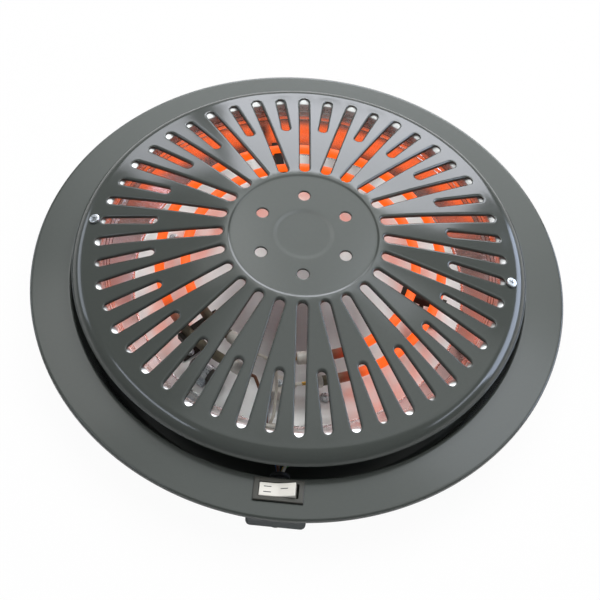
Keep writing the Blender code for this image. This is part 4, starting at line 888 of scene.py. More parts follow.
bush_bore = rod("bush_bore", BUSH_BORE, -0.006, 0.010)
bush_wall = MOUTH_RADIUS - (MOUTH_RADIUS - BOWL_FLOOR_RADIUS) * (FLANGE_TOP - BOX_BUSH_HEIGHT) / BOWL_DEPTH
stand(bush_bore, bush_wall, FRONT, BOX_BUSH_HEIGHT, -math.pi / 2.0)
combine(casing, "DIFFERENCE", vents, window, foot_bores, bush_bore)
fit(casing, finish=ENAMEL, nodes=["casing"])
print("casing faces:", len(casing.data.polygons))

# %% [markdown]
# ## Reflector pan
# The pan is spun from thin sheet. Near its mouth the tool leaves three fine steps that
# catch the light as bright lines, and a rim folds over and carries the grille.

# %% Reflector pan
PAN_MOUTH_HEIGHT = dome_height(PAN_MOUTH_RADIUS) - GRILLE_SHEET - 0.003
PAN_BUSH_RISE = 0.015


def pan_bead(radius):
    """Height of the pan's rim under the grille at a radius."""
    return dome_height(radius) - (GRILLE_SHEET + GAP) / math.cos(dome_tilt(radius))


pan_corners = [(0.0, PAN_FLOOR, 0.0), (PAN_FLOOR_RADIUS, PAN_FLOOR, 0.004)]
for share in (0.70, 0.78, 0.86):
    step_radius = PAN_FLOOR_RADIUS + (PAN_MOUTH_RADIUS - PAN_FLOOR_RADIUS) * share
    step_height = PAN_FLOOR + (PAN_MOUTH_HEIGHT - PAN_FLOOR) * share
    pan_corners.append((step_radius, step_height, 0.0003))
    pan_corners.append((step_radius + 0.0004, step_height + 0.0003, 0.0002))
pan_corners += [(PAN_MOUTH_RADIUS, PAN_MOUTH_HEIGHT, 0.001), (0.1478, pan_bead(0.1478), 0.0008),
                (0.1545, pan_bead(0.1545), 0.0006), (0.1553, pan_bead(0.1545) - 0.0034, 0.0)]
pan = turned("spun_pan", rounded(pan_corners, steps=3), FINE_SIDES)
thicken(pan, PAN_SHEET)
PAN_BUSH_ANGLE = math.radians(265.0)
pan_rise = PAN_MOUTH_HEIGHT - PAN_FLOOR
PAN_BUSH_RADIUS = PAN_FLOOR_RADIUS + (PAN_MOUTH_RADIUS - PAN_FLOOR_RADIUS) * PAN_BUSH_RISE / pan_rise
PAN_BUSH_HEIGHT = PAN_FLOOR + PAN_BUSH_RISE
PAN_BUSH_TILT = -math.atan2(pan_rise, PAN_MOUTH_RADIUS - PAN_FLOOR_RADIUS)
pan_bore = rod("pan_bore", BUSH_BORE, -0.005, 0.004)
stand(pan_bore, PAN_BUSH_RADIUS, PAN_BUSH_ANGLE, PAN_BUSH_HEIGHT, PAN_BUSH_TILT)
combine(pan, "DIFFERENCE", pan_bore)
fit(pan, finish=PAN_METAL, nodes=["reflector_pan"])
print("pan faces:", len(pan.data.polygons), "mouth height:", round(PAN_MOUTH_HEIGHT, 5))

# %% [markdown]
# ## Tubes and leads
# Ring elements and leads are round sections swept along a path, which Geometry Nodes do
# with a curve. The tree also writes down how far along the path each point lies and on
# which side of the section, so that a braid or a stripe can follow the lead.

# %% The tree that sweeps a round section along a path
sweep_tree, sweep_in = new_tree("Round section on a path", [
    ("Radius", "NodeSocketFloat"), ("Sides", "NodeSocketInt"), ("Finish", "NodeSocketMaterial")])
path = add(sweep_tree, "GeometryNodeMeshToCurve", {0: sweep_in.outputs["Geometry"]})
distance = add(sweep_tree, "GeometryNodeSplineParameter").outputs["Length"]
path_marked = add(sweep_tree, "GeometryNodeStoreNamedAttribute",
                  {"Geometry": path.outputs[0], "Name": "along", "Value": distance}, data_type="FLOAT")
circle = add(sweep_tree, "GeometryNodeCurvePrimitiveCircle",
             {"Resolution": sweep_in.outputs["Sides"], "Radius": sweep_in.outputs["Radius"]})
side_spot = add(sweep_tree, "GeometryNodeInputPosition").outputs[0]
side_unit = add(sweep_tree, "ShaderNodeVectorMath", {0: side_spot}, operation="NORMALIZE").outputs[0]
circle_marked = add(sweep_tree, "GeometryNodeStoreNamedAttribute",
                    {"Geometry": circle.outputs[0], "Name": "side", "Value": side_unit},
                    data_type="FLOAT_VECTOR")
swept = add(sweep_tree, "GeometryNodeCurveToMesh",
            {"Curve": path_marked.outputs[0], "Profile Curve": circle_marked.outputs[0], "Fill Caps": True})
sweep_real = add(sweep_tree, "GeometryNodeRealizeInstances", {0: swept.outputs[0]})
sweep_painted = add(sweep_tree, "GeometryNodeSetMaterial",
                    {"Geometry": sweep_real.outputs[0], "Material": sweep_in.outputs["Finish"]})
add(sweep_tree, "NodeGroupOutput", {0: sweep_painted.outputs[0]})


def sweep(name, points, radius, sides, finish):
    """A tube or lead along points."""
    mesh = bpy.data.meshes.new(name)
    mesh.from_pydata(points, [(i, i + 1) for i in range(len(points) - 1)], [])
    return grow(name, mesh, sweep_tree, {"Radius": radius, "Sides": sides, "Finish": finish})


print("sweep tree nodes:", len(sweep_tree.nodes))

# %% [markdown]
# ## Ring elements
# Each ring is nearly a full circle, open at the front, with a straight cold end, a
# ceramic bead and a brass pin at both ends.

# %% Ring elements, beads and pins
TUBE_RADIUS = 0.0035
COLD_END = 0.006
BEAD_LENGTH = 0.008
PIN_REACH = 0.006
ARC_PARTS = 150
RINGS = {
    "outer": (OUTER_RING_RADIUS, math.radians(-74.0), math.radians(244.0)),
    "inner": (INNER_RING_RADIUS, math.radians(-78.0), math.radians(234.0)),
}


def along_ring(angle, way):
    """Unit vector along a ring at an angle, anticlockwise for a way of +1."""
    return polar(way, angle + math.pi / 2.0)


bead_seats = []
for ring, (ring_radius, start, end) in RINGS.items():
    arc = [polar(ring_radius, angle, RING_HEIGHT) for angle in spaced(start, end, ARC_PARTS)]
    arc = [arc[0] + along_ring(start, -1.0) * COLD_END] + arc + [arc[-1] + along_ring(end, 1.0) * COLD_END]
    element = sweep(f"{ring}_ring_tube", arc, TUBE_RADIUS, 24, SHEATH)
    fit(element, nodes=[f"{ring}_element"])
    for angle, way in ((start, -1.0), (end, 1.0)):
        place = polar(ring_radius, angle, RING_HEIGHT) + along_ring(angle, way) * (COLD_END + GAP)
        facing = Matrix.Rotation(angle, 3, "Z") @ Matrix.Rotation(-way * math.pi / 2.0, 3, "X")
        bead_seats.append(seat(place, facing))
bead_shape = turned("bead_shape", rounded([
    (0.0017, BEAD_LENGTH, 0.0), (0.0045, BEAD_LENGTH, 0.0012), (0.0045, 0.0, 0.0012), (0.0017, 0.0, 0.0),
], steps=5), closed=True)
beads = set_out("ceramic_beads", bead_shape, bead_seats, STEATITE)
fit(beads, nodes=["outer_bead_left", "outer_bead_right", "inner_bead_left", "inner_bead_right"])
pin_shape = turned("pin_shape", rounded([
    (0.0, 0.0, 0.0), (0.0013, 0.0, 0.0), (0.0013, BEAD_LENGTH + PIN_REACH, 0.0003),
    (0.0, BEAD_LENGTH + PIN_REACH, 0.0)]), sides=24)
pins = set_out("terminal_pins", pin_shape, bead_seats, BRASS)
fit(pins, nodes=["outer_pin_left", "outer_pin_right", "inner_pin_left", "inner_pin_right"])
print("ring tube faces:", len(element.data.polygons), "beads:", len(bead_seats))

# %% [markdown]
# ## Screws
# All the screws are pan heads with a cross recess. The head is turned and the recess is
# cut as a cross with sloping walls. One shape is made for each size.

# %% Screws
def pan_head(name, head_radius, head_height, shank_radius, shank_length):
    """A pan-head screw with its head over z = 0 and a cross recess."""
    screw = turned(name, rounded([
        (0.0, head_height, 0.0), (head_radius, head_height * 0.93, head_height * 0.42),
        (head_radius, 0.0, head_height * 0.12), (shank_radius, 0.0, 0.0),
        (shank_radius, -shank_length, shank_radius * 0.4), (0.0, -shank_length, 0.0),
    ], steps=5), 32)
    reach, slim, deep = head_radius * 0.56, head_radius * 0.11, head_height * 0.62
    tools = []
    for along, across in ((reach, slim), (slim, reach)):
        tool = block(f"{name}_recess", (-along, -across, head_height - deep),
                     (along, across, head_height + deep))
        for vertex in tool.data.vertices:
            if vertex.co.z < head_height:
                vertex.co.x *= 0.45
                vertex.co.y *= 0.45
        tools.append(tool)
    return combine(screw, "DIFFERENCE", *tools)


def seats_on_circle(radius, angles, height, tilt=0.0):
    """Seats at angles round the axis, leaning outwards."""
    return [seat(polar(radius, a, height), Matrix.Rotation(a, 3, "Z") @ Matrix.Rotation(tilt, 3, "Y"))
            for a in angles]


GRILLE_SCREW_CIRCLE = 0.1508
STANDOFF_ANGLES = evenly(3, math.radians(45.0))
STANDOFF_CIRCLE = 0.1002
BLOCK_CIRCLE = PAN_FLOOR_RADIUS - 0.0264
BLOCK_ANGLE = math.radians(266.0)
BLOCK_HEIGHT = 0.012
BOX_FLOOR = 0.017
BOX_WALL = 0.0012
STUD_Y = -0.186
STUD_X = 0.012
EARTH_ANGLE = math.radians(285.0)
EARTH_CIRCLE = 0.134
EARTH_RING_SHEET = 0.0008

screw_tilt = dome_tilt(GRILLE_SCREW_CIRCLE)
screw_angles = [math.radians(176.3), math.radians(356.3)]
head_lift = Vector((GAP * math.sin(screw_tilt), 0.0, GAP * math.cos(screw_tilt)))
upside_down = Matrix.Rotation(math.pi, 3, "X")
# Each row: head radius and height, shank radius and length, places, finish, slot, CAD nodes.
SCREWS = {
    "grille_screws": (0.0038, 0.0023, 0.0015, 0.009, seats_on_circle(
        GRILLE_SCREW_CIRCLE + head_lift.x, screw_angles, dome_height(GRILLE_SCREW_CIRCLE) + head_lift.z,
        screw_tilt), ZINC, "zinc_steel", ["grille_screw_left", "grille_screw_right"]),
    "pan_screws": (0.0038, 0.0024, 0.002, 0.0096, seats_on_circle(
        STANDOFF_CIRCLE, STANDOFF_ANGLES, PAN_FLOOR + GAP), ZINC, "zinc_steel",
        ["pan_screw_1", "pan_screw_2", "pan_screw_3"]),
    "block_screw": (0.0028, 0.0018, 0.0017, 0.0162, seats_on_circle(
        BLOCK_CIRCLE, [BLOCK_ANGLE], PAN_FLOOR + GAP + BLOCK_HEIGHT + GAP), ZINC, "zinc_steel",
        ["terminal_block_screw"]),
    "box_screws": (0.0026, 0.0016, 0.0012, 0.0078, [
        seat((x, STUD_Y, BOX_FLOOR - GAP), upside_down) for x in (-STUD_X, STUD_X)], ZINC, "zinc_steel",
        ["box_screw_left", "box_screw_right"]),
    "earth_clamp_screw": (0.0038, 0.0024, 0.002, 0.0042, seats_on_circle(
        EARTH_CIRCLE, [EARTH_ANGLE], CASING_FLOOR + GAP + EARTH_RING_SHEET + GAP), BRASS, "brass",
        ["earth_screw"]),
}
for kind, (*sizes, places, finish, slot, nodes) in SCREWS.items():
    screw_shape = pan_head(f"{kind}_shape", *sizes)
    fit(set_out(kind, screw_shape, places, finish), nodes=nodes)
print("kinds of screw:", len(SCREWS))

# %% [markdown]
# ## Feet, standoffs, rivets, bushes and gland
# These are turned parts. Rubber feet push into the casing floor, steel standoffs carry
# the pan, and headed bushes line every hole that a lead passes.

# %% Feet, standoffs, rivets, bushes and gland
FOOT_NECK = 0.0025
BARB_RADIUS = 0.0036
BARB_HEIGHT = 0.002
FOOT_RADIUS = 0.009
SOLE_RADIUS = 0.008
STANDOFF_RADIUS = 0.005
STANDOFF_BORE = 0.0023
RIVET_SHANK = 0.0015
RIVET_HEAD = 0.003
RIVET_RISE = 0.0012
RIVET_OFFSET = 0.00875
BRACKET_SHEET = 0.0015

barb_bottom = CASING_FLOOR + GAP
foot_top = CASING_FLOOR - CASING_SHEET - GAP
foot_shape = turned("foot_shape", rounded([
    (0.0, barb_bottom + BARB_HEIGHT, 0.0), (FOOT_NECK, barb_bottom + BARB_HEIGHT, 0.0004),
    (BARB_RADIUS, barb_bottom, 0.0), (FOOT_NECK, barb_bottom, 0.0), (FOOT_NECK, foot_top, 0.0),
    (FOOT_RADIUS, foot_top, 0.0006), (SOLE_RADIUS, 0.0, 0.0008), (0.0, 0.0, 0.0)], steps=4), 48)
feet = set_out("rubber_feet", foot_shape, seats_on_circle(FOOT_CIRCLE, FOOT_ANGLES, 0.0), RUBBER)
fit(feet, nodes=["foot_1", "foot_2", "foot_3"])
under_pan = PAN_FLOOR - PAN_SHEET - GAP
standoff_shape = turned("standoff_shape", rounded([
    (STANDOFF_BORE, CASING_FLOOR + GAP, 0.0), (STANDOFF_RADIUS, CASING_FLOOR + GAP, 0.0004),
    (STANDOFF_RADIUS, under_pan, 0.0004), (STANDOFF_BORE, under_pan, 0.0)], steps=3), closed=True)
standoffs = set_out("pan_standoffs", standoff_shape, seats_on_circle(STANDOFF_CIRCLE, STANDOFF_ANGLES, 0.0),
                    ZINC)
fit(standoffs, nodes=["pan_standoff_1", "pan_standoff_2", "pan_standoff_3"])
BRACKET_MIDDLE = (OUTER_RING_RADIUS + INNER_RING_RADIUS) / 2.0
rivet_grip = PAN_FLOOR + GAP + BRACKET_SHEET + GAP
rivet_shape = turned("rivet_shape", rounded([
    (0.0, rivet_grip + RIVET_RISE, 0.0), (RIVET_HEAD, rivet_grip + RIVET_RISE * 0.75, 0.0008),
    (RIVET_HEAD, rivet_grip, 0.0), (RIVET_SHANK, rivet_grip, 0.0), (RIVET_SHANK, under_pan, 0.0),
    (RIVET_HEAD, under_pan, 0.0), (RIVET_HEAD, under_pan - RIVET_RISE * 0.75, 0.0008),
    (0.0, under_pan - RIVET_RISE, 0.0)]), 32)
rivets = set_out("bracket_rivets", rivet_shape, seats_on_circle(
    BRACKET_MIDDLE + RIVET_OFFSET, evenly(3, math.radians(105.0)), 0.0), ZINC)
fit(rivets, nodes=["bracket_rivet_1", "bracket_rivet_2", "bracket_rivet_3"])

BUSH_HEAD_RADIUS = 0.0068
BUSH_HEAD = 0.0026
BUSH_NECK = 0.0046
BUSH_HOLE = 0.0037
PAN_BUSH_TAIL = 0.004
BOX_INNER = 0.1672
BUSH_PAST_WALL = 0.0015


def headed_bush(name, head_bottom, tail):
    """A headed bush, its bore and head rounded where leads rub on them."""
    return turned(name, rounded([
        (BUSH_HEAD_RADIUS, head_bottom + BUSH_HEAD, 0.0010), (BUSH_HEAD_RADIUS, head_bottom, 0.0005),
        (BUSH_NECK, head_bottom, 0.0), (BUSH_NECK, -tail, 0.0003), (BUSH_HOLE, -tail, 0.0003),
        (BUSH_HOLE, head_bottom + BUSH_HEAD, 0.0008)], steps=4), 48, closed=True)


pan_bush = headed_bush("pan_bush", GAP, PAN_BUSH_TAIL)
stand(pan_bush, PAN_BUSH_RADIUS, PAN_BUSH_ANGLE, PAN_BUSH_HEIGHT, PAN_BUSH_TILT)
fit(pan_bush, finish=STEATITE, nodes=["pan_wire_bush"])
bush_lowest = MOUTH_RADIUS - BOWL_RUN * (FLANGE_TOP - (BOX_BUSH_HEIGHT - BUSH_HEAD_RADIUS)) / BOWL_DEPTH
box_bush_head = bush_wall - bush_lowest + GAP
box_bush_tail = BOX_INNER + BOX_WALL + BUSH_PAST_WALL - bush_wall
box_bush = headed_bush("box_bush", box_bush_head, box_bush_tail)
stand(box_bush, bush_wall, FRONT, BOX_BUSH_HEIGHT, -math.pi / 2.0)
fit(box_bush, finish=RUBBER, nodes=["box_wire_bush"])
GLAND_NECK = 0.0046
GLAND_HOLE = 0.0036
GLAND_HEAD_HEIGHT = 0.0015
gland_top = BOX_FLOOR + BOX_WALL + 0.0008
gland_head = BOX_FLOOR - GAP
gland_bottom = gland_head - GLAND_HEAD_HEIGHT
gland = turned("cable_gland", rounded([
    (GLAND_NECK, gland_top, 0.0), (GLAND_NECK, gland_head, 0.0), (0.0055, gland_head, 0.0003),
    (GLAND_NECK, gland_bottom, 0.0003), (GLAND_HOLE, gland_bottom, 0.0002), (GLAND_HOLE, gland_top, 0.0),
], steps=3), 48, closed=True)
stand(gland, -STUD_Y, FRONT, 0.0)
fit(gland, finish=RUBBER, nodes=["cord_gland"])
print("gland's lowest corner:", tuple(round(v, 4) for v in gland.bound_box[0]))

# %% [markdown]
# ## Switch
# A black frame snaps into the flange from above. The white rocker is a shallow V in it,
# tipped down at its left end, with two short dashes on one side and one on the other.
# The rocker moves, so it rides on its own body of the CAD model.

# %% Switch frame and rocker
AXLE_HEIGHT = 0.0378
ROCKER_RAKE = math.radians(10.0)
BEZEL_HALF_LENGTH = 0.01675
BEZEL_HALF_WIDTH = 0.008
HOUSING_DEPTH = 0.0115
CAVITY_HALF_LENGTH = 0.01325
CAVITY_HALF_WIDTH = 0.00515
CAVITY_DEPTH = 0.0085
frame_top = FLANGE_TOP + 0.002
bezel = switch_block("switch_frame", BEZEL_HALF_LENGTH, BEZEL_HALF_WIDTH, FLANGE_TOP + GAP, frame_top,
                     0.0007, 5)
combine(bezel, "UNION", switch_block(
    "switch_housing_body", WINDOW_HALF_LENGTH - GAP, WINDOW_HALF_WIDTH - GAP, FLANGE_TOP - HOUSING_DEPTH,
    FLANGE_TOP + 0.001, 0.0003, 2))
combine(bezel, "DIFFERENCE", switch_block(
    "switch_cavity", CAVITY_HALF_LENGTH, CAVITY_HALF_WIDTH, FLANGE_TOP - CAVITY_DEPTH, frame_top + 0.004,
    0.0006, 4))
fit(bezel, finish=DARK_PLASTIC, nodes=["switch_housing"])

ROCKER_HALF = 0.012
ROCKER_CROWN = 0.004
ROCKER_WIDTH = 0.0095
ROCKER_BELLY = 0.003
VALLEY_STEP = 0.0016
VALLEY_SOFTENING = 0.0012
AXLE_RADIUS = 0.0012
AXLE_HALF = 0.00625


def valley_rise(x):
    """How far the rocker's face stands above its valley, softened in the middle."""
    return (math.sqrt(x ** 2 + VALLEY_SOFTENING ** 2) - VALLEY_SOFTENING) * math.tan(ROCKER_RAKE)


rocker_end = ROCKER_CROWN + ROCKER_HALF * math.tan(ROCKER_RAKE)
rocker_side = [(-ROCKER_HALF, rocker_end), (-ROCKER_HALF, 0.0), (-ROCKER_HALF + 0.0015, -ROCKER_BELLY),
               (ROCKER_HALF - 0.0015, -ROCKER_BELLY), (ROCKER_HALF, 0.0), (ROCKER_HALF, rocker_end)]
valley = [(VALLEY_STEP * i, ROCKER_CROWN + valley_rise(VALLEY_STEP * i)) for i in range(6, -7, -1)]
rocker_shape = bmesh.new()
front_side = [rocker_shape.verts.new((x, -ROCKER_WIDTH / 2.0, z)) for x, z in rocker_side + valley]
back_side = [rocker_shape.verts.new((x, ROCKER_WIDTH / 2.0, z)) for x, z in rocker_side + valley]
rocker_shape.faces.new(front_side)
rocker_shape.faces.new(list(reversed(back_side)))
for i in range(len(front_side)):
    j = (i + 1) % len(front_side)
    rocker_shape.faces.new([front_side[j], front_side[i], back_side[i], back_side[j]])
bmesh.ops.recalc_face_normals(rocker_shape, faces=rocker_shape.faces)
rocker = as_object("white_rocker", rocker_shape)
softened = rocker.modifiers.new("Edges", "BEVEL")
softened.width = 0.0006
softened.segments = 4
softened.limit_method = "ANGLE"
softened.angle_limit = math.radians(30.0)
settle(rocker)
axle = rod("rocker_axle", AXLE_RADIUS, -AXLE_HALF, AXLE_HALF, 24)
axle.data.transform(Matrix.Rotation(math.pi / 2.0, 4, "X"))
combine(rocker, "UNION", axle)
rocker_place = Matrix.Translation((0.0, -SWITCH_CIRCLE, AXLE_HEIGHT)) @ Matrix.Rotation(-ROCKER_RAKE, 4, "Y")
rocker.data.transform(rocker_place)
fit(rocker, body="rocker", finish=ROCKER_WHITE, nodes=["rocker"])
print("rocker box:", [tuple(round(v, 4) for v in c) for c in rocker.bound_box][::6])

# %% [markdown]
# The marks are printed on the two slopes. Each is a flat dash with a hair of thickness,
# laid on its slope by the same sum that shapes the slope, so it can't float above it.

# %% Position marks on the rocker
MARK_LENGTH = 0.0050
MARK_WIDTH = 0.0006
MARK_SKIN = 0.00006


def rocker_mark(x, y, side):
    """A flat dash on one slope of the rocker, as one of the copies of a template."""
    spot = rocker_place @ Vector((x, y, ROCKER_CROWN + valley_rise(x)))
    turn = rocker_place.to_3x3() @ Matrix.Rotation(-side * ROCKER_RAKE, 3, "Y")
    return seat(spot, turn)


mark_shape = block("mark_shape", (-MARK_LENGTH / 2.0, -MARK_WIDTH / 2.0, -MARK_SKIN),
                   (MARK_LENGTH / 2.0, MARK_WIDTH / 2.0, MARK_SKIN), 0.00004, 2)
marks = set_out("rocker_marks", mark_shape, [
    rocker_mark(-0.0066, 0.0019, -1.0), rocker_mark(-0.0066, -0.0019, -1.0),
    rocker_mark(0.0044, 0.0008, 1.0)], MARK)
fit(marks, body="rocker")
print("marks:", len(marks.data.polygons))

# %% [markdown]
# ## Switch box
# The terminals are covered by a moulded box under the flange, open at the top, with its
# wall drawn in at rounded corners. It is drawn too tall and trimmed level under the flange,
# where two studs take its screws.

# %% Switch box and studs
BOX_OUTER = 0.1915
BOX_HALF = 0.020
BOX_TOP = FLANGE_TOP - CASING_SHEET - GAP
BOX_CORNER = 0.0035
BOX_EDGE = 0.0011
GLAND_BORE = 0.0048
box_shell = moulded("moulded_box", (-BOX_HALF, -BOX_OUTER, BOX_FLOOR),
                    (BOX_HALF, -BOX_INNER, BOX_TOP + 0.0075), BOX_CORNER, BOX_EDGE)
hollow = moulded("box_hollow", (-BOX_HALF + BOX_WALL, -BOX_OUTER + BOX_WALL, BOX_FLOOR + BOX_WALL),
                 (BOX_HALF - BOX_WALL, -BOX_INNER - BOX_WALL, BOX_TOP + 0.011), 0.0023, 0.0006)
trim = block("box_trim", (-0.03, -BOX_OUTER - 0.01, BOX_TOP), (0.03, -BOX_INNER + 0.01, BOX_TOP + 0.02))
gland_bore = rod("gland_bore", GLAND_BORE, 0.010, 0.022)
stand(gland_bore, -STUD_Y, FRONT, 0.0)
lead_bore = rod("lead_bore", BUSH_BORE, -0.014, 0.002)
stand(lead_bore, bush_wall, FRONT, BOX_BUSH_HEIGHT, -math.pi / 2.0)
combine(box_shell, "DIFFERENCE", hollow, trim, gland_bore, lead_bore)
fit(box_shell, finish=BOX_PLASTIC, nodes=["switch_box"])
stud_bottom = BOX_FLOOR + BOX_WALL + GAP
stud_shape = turned("stud_shape", rounded([
    (0.0, stud_bottom, 0.0), (0.0026, stud_bottom, 0.0003), (0.0026, BOX_TOP, 0.0003), (0.0, BOX_TOP, 0.0),
], steps=3))
studs = set_out("box_studs", stud_shape, [seat((x, STUD_Y, 0.0), Matrix.Identity(3))
                                          for x in (-STUD_X, STUD_X)], ZINC)
fit(studs, nodes=["box_stud_left", "box_stud_right"])
print("box faces:", len(box_shell.data.polygons))

# %% [markdown]
# ## Leads
# Leads inside the heater are stiff, heat-proof wires. They leave the pins, pass through
# the bush in the pan's wall and the bush into the box, and end on the switch or on the
# connector in the box. The routes are those of the CAD model with finer steps.

# %% Finishes of the leads
def braid(tree, shader):
    """A woven sleeve: two sets of threads that wind in opposite directions."""
    along = add(tree, "ShaderNodeAttribute", attribute_name="along").outputs["Fac"]
    side = add(tree, "ShaderNodeAttribute", attribute_name="side").outputs["Vector"]
    part = add(tree, "ShaderNodeSeparateXYZ", {0: side})
    turn = add(tree, "ShaderNodeMath", {0: part.outputs[1], 1: part.outputs[0]},
               operation="ARCTAN2").outputs[0]
    winds = []
    for way in (1.0, -1.0):
        wound = add(tree, "ShaderNodeMath", {0: turn, 1: 4.0 * way}, operation="MULTIPLY").outputs[0]
        phase = add(tree, "ShaderNodeMath", {0: along, 1: math.tau * per_mm(0.9), 2: wound},
                    operation="MULTIPLY_ADD").outputs[0]
        winds.append(add(tree, "ShaderNodeMath", {0: phase}, operation="SINE").outputs[0])
    crossing = add(tree, "ShaderNodeMath", {0: winds[0], 1: winds[1]}, operation="MAXIMUM").outputs[0]
    lift = add(tree, "ShaderNodeBump", {"Height": crossing, "Strength": 0.6, "Distance": 0.0001})
    tree.links.new(lift.outputs[0], shader.inputs["Normal"])


SLEEVE, sleeve_tree, sleeve_shader = new_finish("woven_glass_fibre_sleeve", "#E6E0D4", 0.8)
speckle(sleeve_tree, sleeve_shader, 1.0, "#DCD4C4", "#EFEBE1", 0.72, 0.88, 0.1, 0.02)
braid(sleeve_tree, sleeve_shader)
BROWN_LEAD = speckled("brown_silicone_insulation", "#6A3D22", 0.45, 0.0,
                      1.0, "#613720", "#744427", 0.38, 0.52, 0.1, 0.01)
BLUE_LEAD = speckled("blue_silicone_insulation", "#2C5FA8", 0.45, 0.0,
                     1.0, "#28589D", "#3267B1", 0.38, 0.52, 0.1, 0.01)
EARTH_LEAD, earth_tree, earth_shader = new_finish("green_and_yellow_insulation", "#4E8A2A", 0.45)
earth_side = add(earth_tree, "ShaderNodeAttribute", attribute_name="side").outputs["Vector"]
earth_part = add(earth_tree, "ShaderNodeSeparateXYZ", {0: earth_side})
stripe = add(earth_tree, "ShaderNodeMapRange", {"Value": earth_part.outputs[0], "From Min": 0.30,
                                                "From Max": 0.36})
earth_tint = add(earth_tree, "ShaderNodeMix",
                 {0: stripe.outputs[0], 6: linear("#3F8A2E"), 7: linear("#E3C81E")}, data_type="RGBA")
earth_tree.links.new(earth_tint.outputs[2], earth_shader.inputs["Base Color"])
print("lead finishes:", SLEEVE.name, BROWN_LEAD.name, BLUE_LEAD.name, EARTH_LEAD.name)

# %% [markdown]
# A route is a smooth curve through a few guide points: the pin it leaves, the fan before a
# bush, the bush itself and the blade it ends on. Four leads share the box bush and three of
# them the pan bush, so each has its own place in the bore.

# %% Routes of the leads
WIRE_RADIUS = 0.0011
WIRE_SPREAD = 0.00185
WIRE_LEAD = 0.007
WIRE_GRIP = 0.0015
ROUTE_STEPS = 8


def smooth_route(guides):
    """Points on a smooth curve through the guide points."""
    ends = [2.0 * guides[0] - guides[1]] + list(guides) + [2.0 * guides[-1] - guides[-2]]
    route = [guides[0]]
    for before, start, end, after in zip(ends, ends[1:], ends[2:], ends[3:]):
        length = (end - start).length
        leave = (end - before).normalized() * length
        arrive = (after - start).normalized() * length
        for step in range(1, ROUTE_STEPS + 1):
            t = step / ROUTE_STEPS
            blend = t * t * (3.0 - 2.0 * t)
            route.append(start.lerp(end, blend) + leave * (t * (1.0 - t) ** 2) - arrive * (t * t * (1.0 - t)))
    return route


def pin_tip(ring, end):
    """Just past a terminal pin, and half a lead further on."""
    ring_radius, first, last = RINGS[ring]
    angle, way = (first, -1.0) if end == "right" else (last, 1.0)
    tip = COLD_END + BEAD_LENGTH + PIN_REACH + 2.0 * GAP
    start = polar(ring_radius, angle, RING_HEIGHT) + along_ring(angle, way) * tip
    return [start, start + along_ring(angle, way) * WIRE_LEAD / 2.0]


def through_bush(bush_frame, turn, mouth, tail):
    """Guide points of one lead down a bush, fanned out before its mouth."""
    lift, side = WIRE_SPREAD * math.sin(turn), WIRE_SPREAD * math.cos(turn)
    heights = (mouth, mouth - WIRE_GRIP, WIRE_GRIP - tail, -tail)
    return [bush_frame @ Vector((2.0 * lift, 2.0 * side, mouth + WIRE_LEAD))] \
        + [bush_frame @ Vector((lift, side, height)) for height in heights]


def through_pan_bush(turn):
    """Guide points of one lead out of the pan."""
    leaning = Matrix.Rotation(PAN_BUSH_ANGLE, 4, "Z") @ Matrix.Rotation(PAN_BUSH_TILT, 4, "Y")
    bush_frame = Matrix.Translation(polar(PAN_BUSH_RADIUS, PAN_BUSH_ANGLE, PAN_BUSH_HEIGHT)) @ leaning
    return through_bush(bush_frame, turn, GAP + BUSH_HEAD, PAN_BUSH_TAIL)


def through_box_bush(turn):
    """Guide points of one lead from the casing into the switch box."""
    leaning = Matrix.Rotation(FRONT, 4, "Z") @ Matrix.Rotation(-math.pi / 2.0, 4, "Y")
    bush_frame = Matrix.Translation(polar(bush_wall, FRONT, BOX_BUSH_HEIGHT)) @ leaning
    return through_bush(bush_frame, turn, box_bush_head + GAP + BUSH_HEAD, box_bush_tail)


def block_port(face, offset):
    """Guide points where a lead meets the terminal block."""
    centre = polar(BLOCK_CIRCLE, BLOCK_ANGLE, PAN_FLOOR + BLOCK_HEIGHT / 2.0)
    outwards = polar(face, BLOCK_ANGLE)
    start = centre + along_ring(BLOCK_ANGLE, offset) + outwards * (0.007 + 2.0 * GAP)
    return [start, start + outwards * WIRE_LEAD / 2.0]


QUARTER = math.pi / 4.0
PORT = 0.005
BLADE_HALF = 0.0004
blade_height = FLANGE_TOP - HOUSING_DEPTH - GAP - 0.00225
blade_spot = Vector((0.0054, -(SWITCH_CIRCLE - BLADE_HALF - 2.0 * GAP), blade_height))
connector_spot = Vector((0.0023, -(SWITCH_CIRCLE + BLADE_HALF + 2.0 * GAP), gland_top + GAP + 0.0018))
mirror = Vector((-1.0, 1.0, 1.0))
straight = Vector((0.0, 0.0015, 0.0))
between = polar(BRACKET_MIDDLE, math.radians(263.0), RING_HEIGHT)
earth_ring = polar(EARTH_CIRCLE, EARTH_ANGLE, CASING_FLOOR + GAP + WIRE_RADIUS)
beside = along_ring(EARTH_ANGLE, -1.0)
earth_start = earth_ring + beside * (0.0045 + 2.0 * GAP)
earth_lift = earth_start + beside * WIRE_LEAD + Vector((0.0, 0.0, WIRE_LEAD / 2.0))
brown_end = blade_spot * mirror
blue_end = connector_spot * mirror
